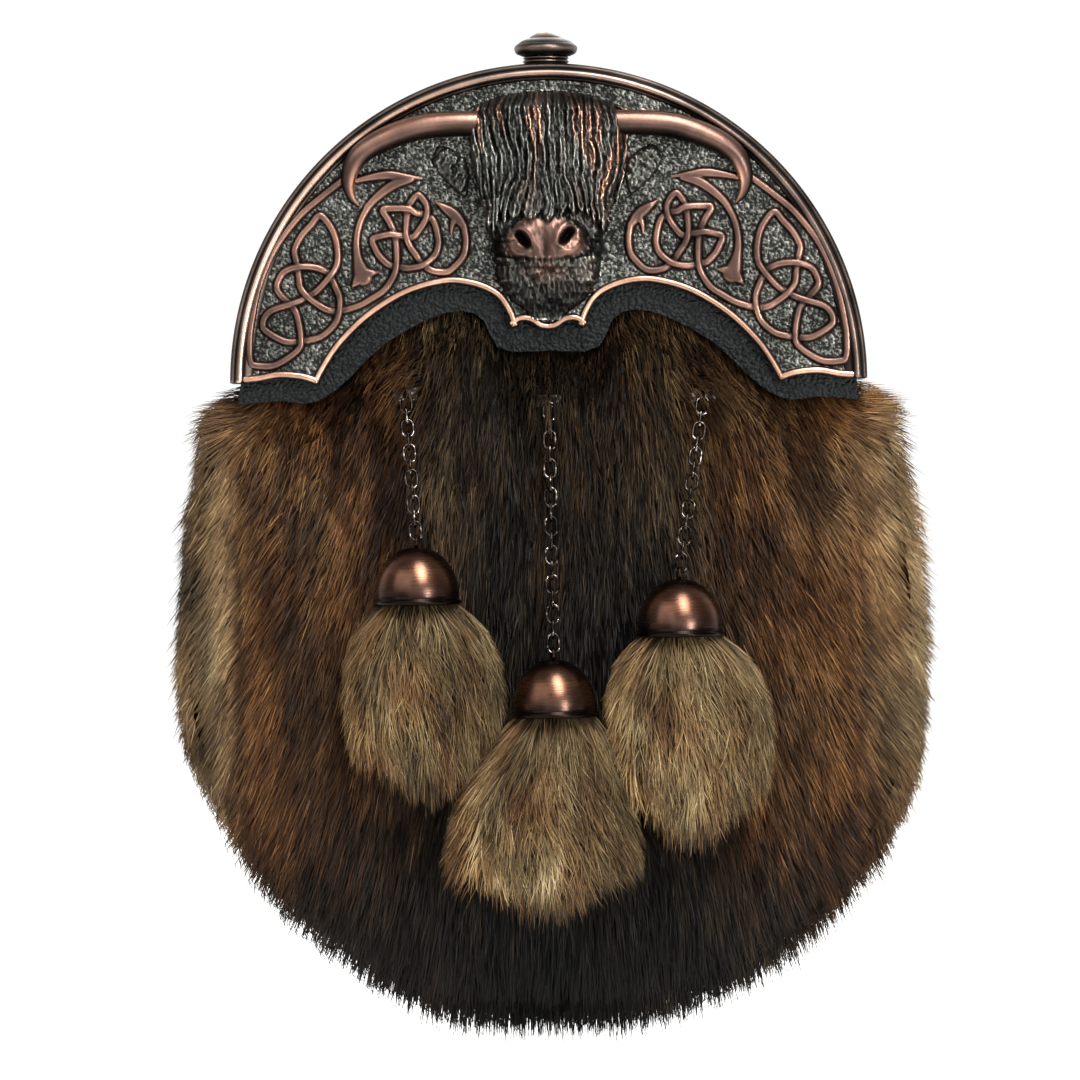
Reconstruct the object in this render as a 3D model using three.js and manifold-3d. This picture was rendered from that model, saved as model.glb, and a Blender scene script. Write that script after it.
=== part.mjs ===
// Full-dress sporran pouch: a fur-fronted leather pouch with a half-round cast cantle,
// a push button on top of the cantle and three fur tassels on chains.
//
// Millimetres, +Z up, the front faces -Y and +X is to the right as seen from the front.
// The pieces are laid out from the arch centre, the middle of the cantle's half circle.
// The whole pouch is then lowered so that the origin lies midway between the strap loops
// on the rear face of the back panel.

import * as THREE from 'three';
import { mergeVertices } from 'three/addons/utils/BufferGeometryUtils.js';
import Module from 'manifold-3d';

const wasm = await Module();
wasm.setup();

// ---------------------------------------------------------------- driving dimensions

const GAP = 0.3;                  // clearance between pieces that touch
const ORIGIN_ABOVE_ARCH = 22;     // strap loops' middle above the arch centre
const FAR_FRONT_Y = -100;         // in front of every piece
const BEYOND = 400;               // wider than the whole pouch

// Depths, all negative towards the front
const BACK_PANEL_THICK = 3;
const LEATHER_THICK = 2;
const GUSSET_FRONT_Y = -20;       // gusset's front edge where the fur front sits on it
const GUSSET_ARCH_Y = -24;        // gusset's front edge above the fur front
const GUSSET_STEP_Z = 36;         // height where the gusset's front edge changes depth
const FACING_BACK_Y = -24.3;
const CANTLE_PLATE_BACK_Y = -26.6;
const CANTLE_FACE_Y = -28.8;      // flat front of the cantle's plate
const CANTLE_WALL_BACK_Y = -14;   // rear edge of the cantle's rim wall

// Cantle
const CANTLE_R = 80;
const CANTLE_WALL = 2;
const RIM_BEAD_WIDTH = 3;
const RIM_BEAD_HEIGHT = 1.6;
const EDGE_BEAD_R = 0.75;
const EDGE_BEAD_STAND = 0.2;      // bead's middle in front of the plate's face
const CAST_OVERLAP = 0.5;         // how far wall and rim bead run into each other
const CANTLE_ARCH_STEPS = 36;
const HEAD_SUNK = 1;              // how far head and plate run into each other
const HORN_STAND = 0.55;          // horn's middle in front of the face, in half thicknesses

// Push button, its stem and the collar on the rim
const BUTTON_Y = -21.4;
const STEM_R = 1.8;
const STEM_HOLE_R = 2.1;
const STEM_HOLE_BOTTOM = 70;
const STEM_HOLE_TOP = 90;
const STEM_SLOT = [8, 8, 12];     // gap round the stem in the gusset: width, depth, height
const STEM_DISC_R = 2.7;          // disc under the rim that keeps the button in
const STEM_DISC_THICK = 1;
const BUTTON_HOLLOW_R = 6.05;     // hollow that slides down over the collar
const BUTTON_HOLLOW_TOP = 84.8;
const TURNED_SEGMENTS = 18;

// Leather pouch and fur
const POUCH_ARCH_R = 77.2;        // gusset's outer radius, just inside the cantle's wall
const POUCH_ARCH_STEPS = 32;
const BACK_PANEL_MARGIN = 1;      // back panel stands out past the gusset
const FACING_ARCH_R = 77.4;
const FACING_ARCH_STEPS = 30;
const FUR_CENTRE_Z = -60;         // middle of the fur front's dome
const FUR_EDGE_Y = -15;           // front of the fur at its outer edge
const FUR_BACK_Y = -9;            // rear of the fur that hangs past the gusset
const FUR_DOME_DEPTH = 25;        // how far the dome stands in front of its edge
const FUR_TUCK_Y = -24;           // fur pressed flat behind the facing
const FUR_RISE = 20;              // how far the fur springs out below the facing
const FUR_RISE_RUN = 30;          // the length in which it does so
const FUR_WALL = 11;              // hide and fur, from the hollow to the surface
const DOME_FLATNESS = 2.8;        // the higher, the flatter the middle of the dome
const DOME_ROUNDNESS = 0.55;      // the lower, the steeper its edge

// Rings of the fur front, as fractions of the way from the dome's middle to an outline:
// its surface, its rear edge and the hollow inside it, which is cut with a smaller dome.
const FUR_RINGS = [0.12, 0.3, 0.48, 0.62, 0.72, 0.8, 0.87, 0.93, 0.97, 1];
const FUR_REAR_RINGS = [0.985, 0.94];
const HOLLOW_RINGS = [0.1, 0.35, 0.6, 0.78, 0.9];
const HOLLOW_MOUTH_RING = 0.92;
const HOLLOW_DOME_SHARE = 0.86;

// Strap loops
const LOOP_X = 38;
const LOOP_WIDTH = 20;
const LOOP_CLEAR = 6.5;
const LOOP_HALF_GAP = 14;
const LOOP_HALF_LENGTH = 26;
const LOOP_BEND = 2;              // chamfer where the strap bends

// Chains
const LINK_LENGTH = 5.4;
const LINK_WIDTH = 3.8;
const WIRE_R = 0.35;
const LINK_PITCH = 3.7;
const WIRE_STEPS = 10;            // steps round a link or an eye
const CHAIN_DROP = 0.72;          // the lower, the further forward a chain hangs before it drops
const EYE_R = 1.5;                // centre-line radius of the eyes at the chain's ends
const FOOT_HALF = 3;              // anchor's foot: half width, height and thickness
const FOOT_HEIGHT = 3;
const FOOT_THICK = 0.9;
const FOOT_EYE_SUNK = 0.3;        // how far an eye runs into the foot or the cap it stands on
const CAP_EYE_SUNK = 0.2;

// Caps and tassels
const CAP_R = 10.5;
const CAP_HEIGHT = 14.3;
const CAP_WALL = 1;
const CAP_SEGMENTS = 15;
const CAP_LIP = 0.5;              // height of the slope inside the rim
const CAP_HOLLOW_ROWS = 6;        // rows of CAP_PROFILE, from the top, that the hollow follows
const CAP_EYE_Z = CAP_HEIGHT + EYE_R - CAP_EYE_SUNK;
const TASSEL_NECK_R = 8.7;
const TASSEL_SIDES = 20;
const TASSEL_SETTLE = 2.5;        // a tassel reaches its own middle in 1 / 2.5 of its length
const TASSEL_LEAST_HALF_Y = 5;
const TASSEL_GAP = 0.6;           // clearance of the side tassels round the middle one

// Right half of the cantle's lower edge, from the foot inwards. Each run is smooth and
// the runs meet in points: columns x, z.
const CANTLE_EDGE_RUNS = [
  [[78.6, 1.4], [73, 2.3], [67, 2.5], [58.2, 0.5]],
  [[58.2, 0.5], [55.5, 5], [44.5, 16.5], [35.5, 22], [26, 24.6], [19, 24], [13.3, 21.5], [9, 13.4]],
  [[9, 13.4], [5.1, 15.3], [0, 13]],
];

// Right half of the leather facing's lower edge, from the foot inwards: columns x, z.
const FACING_EDGE = [
  [78.3, -5.2], [68.3, -4.2], [59.9, -4.8], [52.2, -0.6], [41, 10], [26.5, 17.4],
  [17.2, 16.7], [12.1, 8.3], [0, 7.9],
];

// Right half of the leather pouch below the arch, from the top down: columns x, z.
const POUCH_SIDE = [
  [POUCH_ARCH_R, 0], [78, -20], [80.5, -45], [82, -70], [80, -95], [72, -116], [58, -131],
  [38, -141], [0, -146],
];

// Right half of the fur front's outline, from the top middle down: columns x, z.
const FUR_SIDE = [
  [0, 34], [30, 32], [50, 22], [66, 9], [75.5, 1.5], [80, -2], [86, -5], [90, -14], [93, -35],
  [95.2, -60], [95, -80], [92.8, -96], [88, -110], [79, -124], [69, -136], [57.5, -146],
  [46, -153], [33, -158], [17, -160.5], [0, -161],
];

// Bull's head: columns z, half width, height above the plate.
const HEAD_SECTIONS = [
  [72.5, 11, 2.5], [69, 18, 5.5], [63, 20.5, 8.5], [55, 19, 10.5], [48, 16, 11],
  [42, 14.5, 10.5], [37, 13.5, 11.5], [31, 13, 11], [25, 12, 8], [19, 8.5, 4.5], [17.5, 5, 2],
];

const EAR = { x: 23, z: 54, stand: 1.6, halfWidth: 5.2, halfDepth: 2.4, halfHeight: 3.6, tilt: 0.5 };

// Right horn, from the root to the tip, mirrored for the left: columns x, z, half thickness.
const HORN_SECTIONS = [
  [17, 65, 3.1], [30, 64.6, 3.1], [39, 62.3, 2.8], [46.5, 58.6, 2.4], [50.8, 54, 1.8],
  [51.8, 49.6, 1.2], [50.2, 45.6, 0.8], [48.6, 43.5, 0.35],
];

// Outer shape of a cap, from the rim to the top: columns radius, height.
const CAP_PROFILE = [
  [CAP_R - 0.6, 0], [CAP_R + 0.1, 0], [CAP_R + 0.5, 0.7], [CAP_R + 0.1, 1.5], [CAP_R - 0.1, 4],
  [9.6, 7.3], [7.8, 10.6], [5.2, 13], [2.4, 14.1], [0, CAP_HEIGHT],
];

// Section of the collar on top of the rim: columns radius, height above the arch centre.
const COLLAR_PROFILE = [
  [0, 78.5], [6.9, 78.5], [6.7, 80.1], [5.6, 80.4], [5.8, 80.9], [5.3, 81.3], [5.6, 81.7],
  [5.3, 82.1], [0, 82.1],
];

// Outer shape of the button, from its lip to its top: columns radius, height above the arch centre.
const BUTTON_PROFILE = [
  [6.4, 82.4], [7.3, 82.8], [8, 84.2], [7.6, 85.3], [6.2, 86.2], [4.2, 86.9], [2.3, 88], [0, 88.8],
];

// Fullness of a tassel's outline at fractions of its length: columns fraction, side
// tassels' width, middle tassel's width.
const TASSEL_FULLNESS = [
  [0.04, 0.5, 0.38], [0.14, 0.7, 0.5], [0.3, 0.9, 0.68], [0.5, 1, 0.87], [0.7, 0.95, 1],
  [0.85, 0.77, 0.9], [0.95, 0.52, 0.66], [1, 0.25, 0.35],
];

// Neck of a tassel inside its cap: columns radius, height above the cap's rim.
const TASSEL_NECK = [
  [TASSEL_NECK_R - 2, 5.5], [TASSEL_NECK_R, 2], [TASSEL_NECK_R, -0.5],
];

// One row for each hanging tassel. anchorX and anchorZ place the chain's upper end, capX
// and capZ the middle of the cap's rim, middleX, halfX, halfY and bottomZ the tassel.
const TASSELS = [
  { name: 'left', anchorX: -35.9, anchorZ: -3, capX: -33.1, capZ: -55.6, capY: -50.9,
    middleX: -31.6, halfX: 20.2, halfY: 11, middleY: -50.8, bottomZ: -104.7, column: 1 },
  { name: 'centre', anchorX: 0, anchorZ: -5, capX: 0.6, capZ: -83.7, capY: -51.4,
    middleX: -2.2, halfX: 25, halfY: 12, middleY: -54, bottomZ: -133.7, column: 2 },
  { name: 'right', anchorX: 38.6, anchorZ: -4, capX: 31.9, capZ: -64, capY: -50.9,
    middleX: 33.9, halfX: 21.2, halfY: 11, middleY: -50.8, bottomZ: -116, column: 1 },
];

// ---------------------------------------------------------------- materials

const MATERIALS = {
  copper: { color: 0x7a4a36, roughness: 0.35, metalness: 1 },
  cantle: { color: 0x5b4a42, roughness: 0.45, metalness: 1 },
  darkMetal: { color: 0x3c3836, roughness: 0.4, metalness: 1 },
  leather: { color: 0x1d1b1c, roughness: 0.6, metalness: 0 },
  fur: { color: 0x4a3828, roughness: 0.9, metalness: 0 },
  tasselFur: { color: 0x86704a, roughness: 0.9, metalness: 0 },
};

const pouch = new THREE.Group();
pouch.position.z = -ORIGIN_ABOVE_ARCH;

function addPiece(name, geometry, finish) {
  const piece = new THREE.Mesh(geometry, new THREE.MeshStandardMaterial(MATERIALS[finish]));
  piece.name = name;
  pouch.add(piece);
  return piece;
}

// ---------------------------------------------------------------- outlines

function spline(points, steps) {
  const curve = new THREE.SplineCurve(points.map(([x, z]) => new THREE.Vector2(x, z)));
  return curve.getPoints(steps);
}

// The right half followed by its mirror image back to the start, without the two points
// on the middle line twice.
function mirrored(rightHalf) {
  const left = rightHalf
    .filter((point) => point.x > 1e-6)
    .map((point) => new THREE.Vector2(-point.x, point.y))
    .reverse();
  return [...rightHalf, ...left];
}

// Points of a half circle about the arch centre, from the right foot over the top.
function archPoints(radius, steps) {
  const points = [];
  for (let step = 0; step <= steps; step += 1) {
    const angle = (Math.PI * step) / steps;
    points.push(new THREE.Vector2(radius * Math.cos(angle), radius * Math.sin(angle)));
  }
  return points;
}

// Moves every point of a closed outline outwards by a distance, inwards if negative.
function offsetOutline(points, distance) {
  const turn = THREE.ShapeUtils.isClockWise(points) ? -1 : 1;
  return points.map((point, index) => {
    const before = points[(index + points.length - 1) % points.length];
    const after = points[(index + 1) % points.length];
    const along = after.clone().sub(before).normalize();
    return new THREE.Vector2(
      point.x + turn * along.y * distance,
      point.y - turn * along.x * distance,
    );
  });
}

function edgeHeight(edge, x) {
  const reach = Math.abs(x);
  for (let row = 1; row < edge.length; row += 1) {
    const [outerX, outerZ] = edge[row - 1];
    const [innerX, innerZ] = edge[row];
    if (reach >= innerX) {
      const share = Math.min((reach - innerX) / (outerX - innerX), 1);
      return innerZ + share * (outerZ - innerZ);
    }
  }
  return edge[edge.length - 1][1];
}

const pouchOutline = (() => {
  const arch = archPoints(POUCH_ARCH_R, POUCH_ARCH_STEPS).filter((point) => point.x > -1e-6).reverse();
  return mirrored([...arch, ...spline(POUCH_SIDE, 20).slice(1)]);
})();

const furOutline = mirrored(spline(FUR_SIDE, 25));

// ---------------------------------------------------------------- solids

function indexed(positions, triangles) {
  const geometry = new THREE.BufferGeometry();
  geometry.setAttribute('position', new THREE.Float32BufferAttribute(positions, 3));
  geometry.setIndex(triangles);
  geometry.computeVertexNormals();
  return geometry;
}

function signedVolume(positions, triangles) {
  let volume = 0;
  const corner = (index) => new THREE.Vector3().fromArray(positions, 3 * index);
  for (let start = 0; start < triangles.length; start += 3) {
    const [a, b, c] = triangles.slice(start, start + 3).map(corner);
    volume += a.dot(b.cross(c)) / 6;
  }
  return volume;
}

// Closed solid through rings with equal numbers of points. The ends are closed by fans,
// or the last ring is joined to the first.
function loft(rings, isLoop = false) {
  const count = rings[0].length;
  const positions = rings.flat().flatMap((point) => point.toArray());
  const triangles = [];
  const bands = isLoop ? rings.length : rings.length - 1;
  for (let band = 0; band < bands; band += 1) {
    const near = band * count;
    const far = ((band + 1) % rings.length) * count;
    for (let side = 0; side < count; side += 1) {
      const next = (side + 1) % count;
      triangles.push(near + side, near + next, far + next);
      triangles.push(near + side, far + next, far + side);
    }
  }
  if (!isLoop) {
    [0, rings.length - 1].forEach((end) => {
      const middle = new THREE.Vector3();
      rings[end].forEach((point) => middle.addScaledVector(point, 1 / count));
      const hub = positions.length / 3;
      positions.push(...middle.toArray());
      for (let side = 0; side < count; side += 1) {
        const a = end * count + side;
        const b = end * count + ((side + 1) % count);
        triangles.push(...(end === 0 ? [hub, b, a] : [hub, a, b]));
      }
    });
  }
  if (signedVolume(positions, triangles) < 0) {
    triangles.reverse();
  }
  return indexed(positions, triangles);
}

// Flat piece with an outline in X and Z, between two depths.
function plate(points, frontY, backY, hole = null) {
  const isClockwise = THREE.ShapeUtils.isClockWise(points);
  const shape = new THREE.Shape(isClockwise ? [...points].reverse() : points);
  if (hole) {
    shape.holes.push(new THREE.Path(hole));
  }
  const depth = backY - frontY;
  const geometry = new THREE.ExtrudeGeometry(shape, { depth, bevelEnabled: false });
  return geometry.rotateX(Math.PI / 2).translate(0, backY, 0);
}

// Turned piece about a vertical axis, from a closed profile of radius and height.
function turned(profile, segments) {
  const points = profile.map(([radius, height]) => new THREE.Vector2(radius, height));
  return new THREE.LatheGeometry(points, segments).rotateX(Math.PI / 2);
}

function toSolid(geometry) {
  const bare = geometry.clone();
  bare.deleteAttribute('normal');
  bare.deleteAttribute('uv');
  const welded = mergeVertices(bare, 1e-4);
  const corners = welded.index.array;
  const kept = [];
  for (let start = 0; start < corners.length; start += 3) {
    const [a, b, c] = [corners[start], corners[start + 1], corners[start + 2]];
    if (a !== b && b !== c && c !== a) {
      kept.push(a, b, c);
    }
  }
  return new wasm.Manifold(new wasm.Mesh({
    numProp: 3,
    vertProperties: welded.attributes.position.array,
    triVerts: new Uint32Array(kept),
  }));
}

function toGeometry(solid) {
  const mesh = solid.getMesh();
  return indexed(mesh.vertProperties, Array.from(mesh.triVerts));
}

function joined(...geometries) {
  return toGeometry(geometries.map(toSolid).reduce((whole, next) => whole.add(next)));
}

function cutBy(geometry, ...tools) {
  return toGeometry(tools.map(toSolid).reduce((left, tool) => left.subtract(tool), toSolid(geometry)));
}

// Ring of wire: a stadium with straight sides, or a circle where its half length is zero.
// It stands in the X and Z plane about the origin.
function wireRing(endRadius, halfStraight) {
  const rings = [];
  const wireSides = 5;
  for (let step = 0; step < WIRE_STEPS; step += 1) {
    const angle = (2 * Math.PI * (step + 0.5)) / WIRE_STEPS;
    const outward = new THREE.Vector3(Math.cos(angle), 0, Math.sin(angle));
    const centre = outward.clone().multiplyScalar(endRadius);
    centre.z += Math.sign(outward.z) * halfStraight;
    const ring = [];
    for (let side = 0; side < wireSides; side += 1) {
      const roll = (2 * Math.PI * side) / wireSides;
      const point = centre.clone().addScaledVector(outward, WIRE_R * Math.cos(roll));
      point.y += WIRE_R * Math.sin(roll);
      ring.push(point);
    }
    rings.push(ring);
  }
  return loft(rings, true);
}

// ---------------------------------------------------------------- leather pouch

function makeBackPanel() {
  const outline = offsetOutline(pouchOutline, BACK_PANEL_MARGIN);
  addPiece('back_panel', plate(outline, -BACK_PANEL_THICK, 0), 'leather');
}

function makeGusset() {
  const inner = offsetOutline(pouchOutline, -LEATHER_THICK);
  const band = plate(pouchOutline, GUSSET_ARCH_Y, -BACK_PANEL_THICK - GAP, inner);
  const cutFrontY = GUSSET_ARCH_Y - 1;
  const lowerFront = new THREE.BoxGeometry(BEYOND, GUSSET_FRONT_Y - cutFrontY, BEYOND);
  lowerFront.translate(0, (GUSSET_FRONT_Y + cutFrontY) / 2, GUSSET_STEP_Z - BEYOND / 2);
  const stemSlot = new THREE.BoxGeometry(...STEM_SLOT).translate(0, BUTTON_Y - 1, POUCH_ARCH_R);
  addPiece('gusset', cutBy(band, lowerFront, stemSlot), 'leather');
}

function facingOutline() {
  const lower = spline(FACING_EDGE, 22);
  const leftLower = lower.slice(0, -1).map((point) => new THREE.Vector2(-point.x, point.y));
  return [...archPoints(FACING_ARCH_R, FACING_ARCH_STEPS), ...leftLower, ...lower.reverse()];
}

function makeFacing() {
  const facing = plate(facingOutline(), FACING_BACK_Y - LEATHER_THICK, FACING_BACK_Y);
  addPiece('cantle_facing', facing, 'leather');
}

function makeStrapLoops() {
  const foot = GAP;
  const rise = LOOP_CLEAR;
  const outerEnd = LOOP_HALF_GAP + LEATHER_THICK;
  const half = [
    [0, rise], [LOOP_HALF_GAP - LOOP_BEND, rise], [LOOP_HALF_GAP, rise - LOOP_BEND],
    [LOOP_HALF_GAP, foot], [LOOP_HALF_LENGTH, foot], [LOOP_HALF_LENGTH, foot + LEATHER_THICK],
    [outerEnd, foot + LEATHER_THICK], [outerEnd, rise - LOOP_BEND / 2],
    [LOOP_HALF_GAP - LOOP_BEND / 2, rise + LEATHER_THICK], [0, rise + LEATHER_THICK],
  ];
  const upper = half.map(([z, y]) => new THREE.Vector2(z, y));
  const lower = half.slice(1, -1).map(([z, y]) => new THREE.Vector2(-z, y)).reverse();
  const shape = new THREE.Shape([...upper, ...lower]);
  // The strip's section is drawn with its length first: length becomes Z, rise becomes Y.
  const upright = new THREE.Matrix4().set(0, 0, 1, 0, 0, 1, 0, 0, -1, 0, 0, 0, 0, 0, 0, 1);
  [['strap_loop_left', -LOOP_X], ['strap_loop_right', LOOP_X]].forEach(([name, x]) => {
    const strip = new THREE.ExtrudeGeometry(shape, { depth: LOOP_WIDTH, bevelEnabled: false });
    strip.translate(0, 0, -LOOP_WIDTH / 2).applyMatrix4(upright);
    const piece = addPiece(name, strip, 'leather');
    piece.position.set(x, 0, ORIGIN_ABOVE_ARCH);
  });
}

// ---------------------------------------------------------------- fur front

// Rings over the dome: the outline, drawn in to each fraction of its way from the middle.
function ringsOfDome(outline, fractions, depthAt) {
  return fractions.map((fraction) => outline.map((point) => {
    const x = point.x * fraction;
    const z = FUR_CENTRE_Z + (point.y - FUR_CENTRE_Z) * fraction;
    return new THREE.Vector3(x, depthAt(x, z, fraction), z);
  }));
}

// Front surface of the fur: a dome, pressed flat where the facing covers it.
function furFrontY(x, z, fraction) {
  const dome = (1 - fraction ** DOME_FLATNESS) ** DOME_ROUNDNESS;
  const below = edgeHeight(FACING_EDGE, x) - z;
  const sprung = THREE.MathUtils.clamp(below / FUR_RISE_RUN, 0, 1);
  const domeY = FUR_EDGE_Y - FUR_DOME_DEPTH * dome;
  if (Math.abs(x) >= FACING_ARCH_R) {
    return domeY;
  }
  return Math.max(domeY, FUR_TUCK_Y - FUR_RISE * (1 - (1 - sprung) ** 2));
}

function makeFurFront() {
  const outer = ringsOfDome(furOutline, FUR_RINGS, furFrontY);
  outer.push(...ringsOfDome(furOutline, FUR_REAR_RINGS, () => FUR_BACK_Y));
  const behind = plate(offsetOutline(pouchOutline, GAP), GUSSET_FRONT_Y - GAP, 5);
  const hollow = ringsOfDome(pouchOutline, HOLLOW_RINGS, (x, z, fraction) => (
    Math.min(furFrontY(x, z, fraction * HOLLOW_DOME_SHARE) + FUR_WALL, GUSSET_FRONT_Y - 1)));
  hollow.push(...ringsOfDome(pouchOutline, [HOLLOW_MOUTH_RING], () => GUSSET_FRONT_Y + 2));
  const underFacing = plate(offsetOutline(facingOutline(), GAP), FAR_FRONT_Y, FUR_TUCK_Y);
  const form = cutBy(loft(outer), behind, underFacing, loft(hollow));
  return addPiece('fur_front', form, 'fur');
}

// Depth of a piece's front surface at a point seen from the front.
function frontYOf(piece, x, z) {
  const sight = new THREE.Raycaster(new THREE.Vector3(x, FAR_FRONT_Y, z), new THREE.Vector3(0, 1, 0));
  return sight.intersectObject(piece)[0].point.y;
}

// ---------------------------------------------------------------- cantle

// Right half of the cantle's lower edge, from the foot to the middle.
function cantleLowerEdge() {
  const [x, z] = CANTLE_EDGE_RUNS.at(-1).at(-1);
  return CANTLE_EDGE_RUNS.flatMap((run) => spline(run, run.length * 2).slice(0, -1))
    .concat(new THREE.Vector2(x, z));
}

// Round bar through points, with a radius for each.
function tubeAlong(points, radii) {
  const rings = points.map((point, index) => {
    const before = points[Math.max(index - 1, 0)];
    const after = points[Math.min(index + 1, points.length - 1)];
    const along = after.clone().sub(before).normalize();
    const across = new THREE.Vector3(0, 1, 0).cross(along).normalize();
    const ring = [];
    const sides = 7;
    for (let side = 0; side < sides; side += 1) {
      const roll = (2 * Math.PI * side) / sides;
      const around = across.clone().multiplyScalar(Math.cos(roll) * radii[index]);
      around.y += Math.sin(roll) * radii[index];
      ring.push(around.add(point));
    }
    return ring;
  });
  return loft(rings);
}

function makeHorn(side) {
  const points = HORN_SECTIONS.map(([x, z, half]) => (
    new THREE.Vector3(side * x, CANTLE_FACE_Y - half * HORN_STAND, z)));
  return tubeAlong(points, HORN_SECTIONS.map(([, , half]) => half));
}

function makeEar(side) {
  const ear = new THREE.SphereGeometry(1, 10, 6);
  ear.scale(EAR.halfWidth, EAR.halfDepth, EAR.halfHeight).rotateY(side * EAR.tilt);
  return ear.translate(side * EAR.x, CANTLE_FACE_Y - EAR.stand, EAR.z);
}

function makeHead() {
  const sides = 16;
  return loft(HEAD_SECTIONS.map(([z, halfWidth, height]) => {
    const ring = [];
    for (let side = 0; side < sides; side += 1) {
      const angle = (2 * Math.PI * side) / sides;
      const depth = Math.sin(angle) > 0 ? height : HEAD_SUNK;
      ring.push(new THREE.Vector3(
        halfWidth * Math.cos(angle),
        CANTLE_FACE_Y - depth * Math.sin(angle),
        z,
      ));
    }
    return ring;
  }));
}

function makeCantle() {
  const lower = cantleLowerEdge();
  const leftLower = lower.map((point) => new THREE.Vector2(-point.x, point.y)).slice(0, -1);
  const lowerEdge = [...leftLower, ...[...lower].reverse()];
  const arch = archPoints(CANTLE_R, CANTLE_ARCH_STEPS);
  const face = plate([...arch, ...lowerEdge], CANTLE_FACE_Y, CANTLE_PLATE_BACK_Y);
  const joinY = CANTLE_FACE_Y + CAST_OVERLAP;
  const innerArch = archPoints(CANTLE_R - CANTLE_WALL, CANTLE_ARCH_STEPS).reverse();
  const wall = plate([...arch, ...innerArch], joinY, CANTLE_WALL_BACK_Y);
  const beadArch = archPoints(CANTLE_R - RIM_BEAD_WIDTH, CANTLE_ARCH_STEPS).reverse();
  const rimBead = plate([...arch, ...beadArch], CANTLE_FACE_Y - RIM_BEAD_HEIGHT, joinY);
  const beadLine = lowerEdge.map((point) => (
    new THREE.Vector3(point.x, CANTLE_FACE_Y - EDGE_BEAD_STAND, point.y + EDGE_BEAD_R)));
  const edgeBead = tubeAlong(beadLine, beadLine.map(() => EDGE_BEAD_R));
  const collar = turned(COLLAR_PROFILE, TURNED_SEGMENTS).translate(0, BUTTON_Y, 0);
  const stemHole = turned([
    [0, STEM_HOLE_BOTTOM], [STEM_HOLE_R, STEM_HOLE_BOTTOM], [STEM_HOLE_R, STEM_HOLE_TOP],
    [0, STEM_HOLE_TOP],
  ], 16).translate(0, BUTTON_Y, 0);
  const casting = joined(face, wall, rimBead, edgeBead, collar, makeHead(),
    makeHorn(1), makeHorn(-1), makeEar(1), makeEar(-1));
  addPiece('cantle', cutBy(casting, stemHole), 'cantle');
}

// Push button on a stem, with a disc under the rim that stops it against its spring. Its
// hollow lip slides down over the cantle's collar.
function makeButton() {
  const discTop = CANTLE_R - CANTLE_WALL - GAP;
  const discBottom = discTop - STEM_DISC_THICK;
  const lip = BUTTON_PROFILE[0][1];
  const button = turned([
    [0, discBottom], [STEM_DISC_R, discBottom], [STEM_DISC_R, discTop], [STEM_R, discTop],
    [STEM_R, BUTTON_HOLLOW_TOP], [BUTTON_HOLLOW_R, BUTTON_HOLLOW_TOP], [BUTTON_HOLLOW_R, lip],
    ...BUTTON_PROFILE,
  ], TURNED_SEGMENTS);
  addPiece('button', button.translate(0, BUTTON_Y, 0), 'copper');
}

// ---------------------------------------------------------------- chains and tassels

function makeCap(row) {
  const thinner = 1 - CAP_WALL / CAP_R;
  const inside = [...CAP_PROFILE].reverse().slice(0, CAP_HOLLOW_ROWS)
    .map(([radius, height]) => [radius * thinner, height - CAP_WALL]);
  const dome = turned([...inside, [CAP_R * thinner, CAP_LIP], ...CAP_PROFILE], CAP_SEGMENTS);
  const eye = wireRing(EYE_R, 0).rotateZ(Math.PI / 2);
  eye.translate(0, 0, CAP_EYE_Z);
  const piece = addPiece(`cap_${row.name}`, joined(dome, eye), 'copper');
  piece.position.set(row.capX, row.capY, row.capZ);
}

// Level oval about a point.
function ovalRing(x, y, z, halfX, halfY) {
  const ring = [];
  for (let side = 0; side < TASSEL_SIDES; side += 1) {
    const angle = (2 * Math.PI * side) / TASSEL_SIDES;
    ring.push(new THREE.Vector3(x + halfX * Math.cos(angle), y + halfY * Math.sin(angle), z));
  }
  return ring;
}

// Outer form of a tassel's fur, from the neck inside its cap to its lowest hair.
function makeTassel(row, grow = 0) {
  const length = row.capZ - row.bottomZ;
  const neck = TASSEL_NECK.map(([radius, height]) => (
    ovalRing(row.capX, row.capY, row.capZ + height, radius, radius)));
  const body = TASSEL_FULLNESS.map((columns) => {
    const fraction = columns[0];
    const fullness = columns[row.column];
    const settle = Math.min(fraction * TASSEL_SETTLE, 1);
    return ovalRing(
      THREE.MathUtils.lerp(row.capX, row.middleX, settle),
      THREE.MathUtils.lerp(row.capY, row.middleY, settle),
      row.capZ - fraction * length,
      row.halfX * fullness + grow,
      Math.max(row.halfY * fullness, TASSEL_LEAST_HALF_Y) + grow,
    );
  });
  return loft([...neck, ...body]);
}

// A flat foot against the fur with an eye standing out of it.
function makeAnchor(row, furFront) {
  const foot = new THREE.BoxGeometry(2 * FOOT_HALF, FOOT_THICK, FOOT_HEIGHT);
  foot.translate(0, -FOOT_THICK / 2, 0);
  const eyeMiddle = -FOOT_THICK - EYE_R + FOOT_EYE_SUNK;
  const eye = wireRing(EYE_R, 0).rotateZ(Math.PI / 2).translate(0, eyeMiddle, 0);
  const piece = addPiece(`anchor_${row.name}`, joined(foot, eye), 'darkMetal');
  const corners = [-FOOT_HALF, FOOT_HALF].map((offset) => (
    frontYOf(furFront, row.anchorX + offset, row.anchorZ - FOOT_HEIGHT / 2)));
  piece.position.set(row.anchorX, Math.min(...corners) - GAP, row.anchorZ);
  return piece.position.clone().add(new THREE.Vector3(0, eyeMiddle, 0));
}

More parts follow.
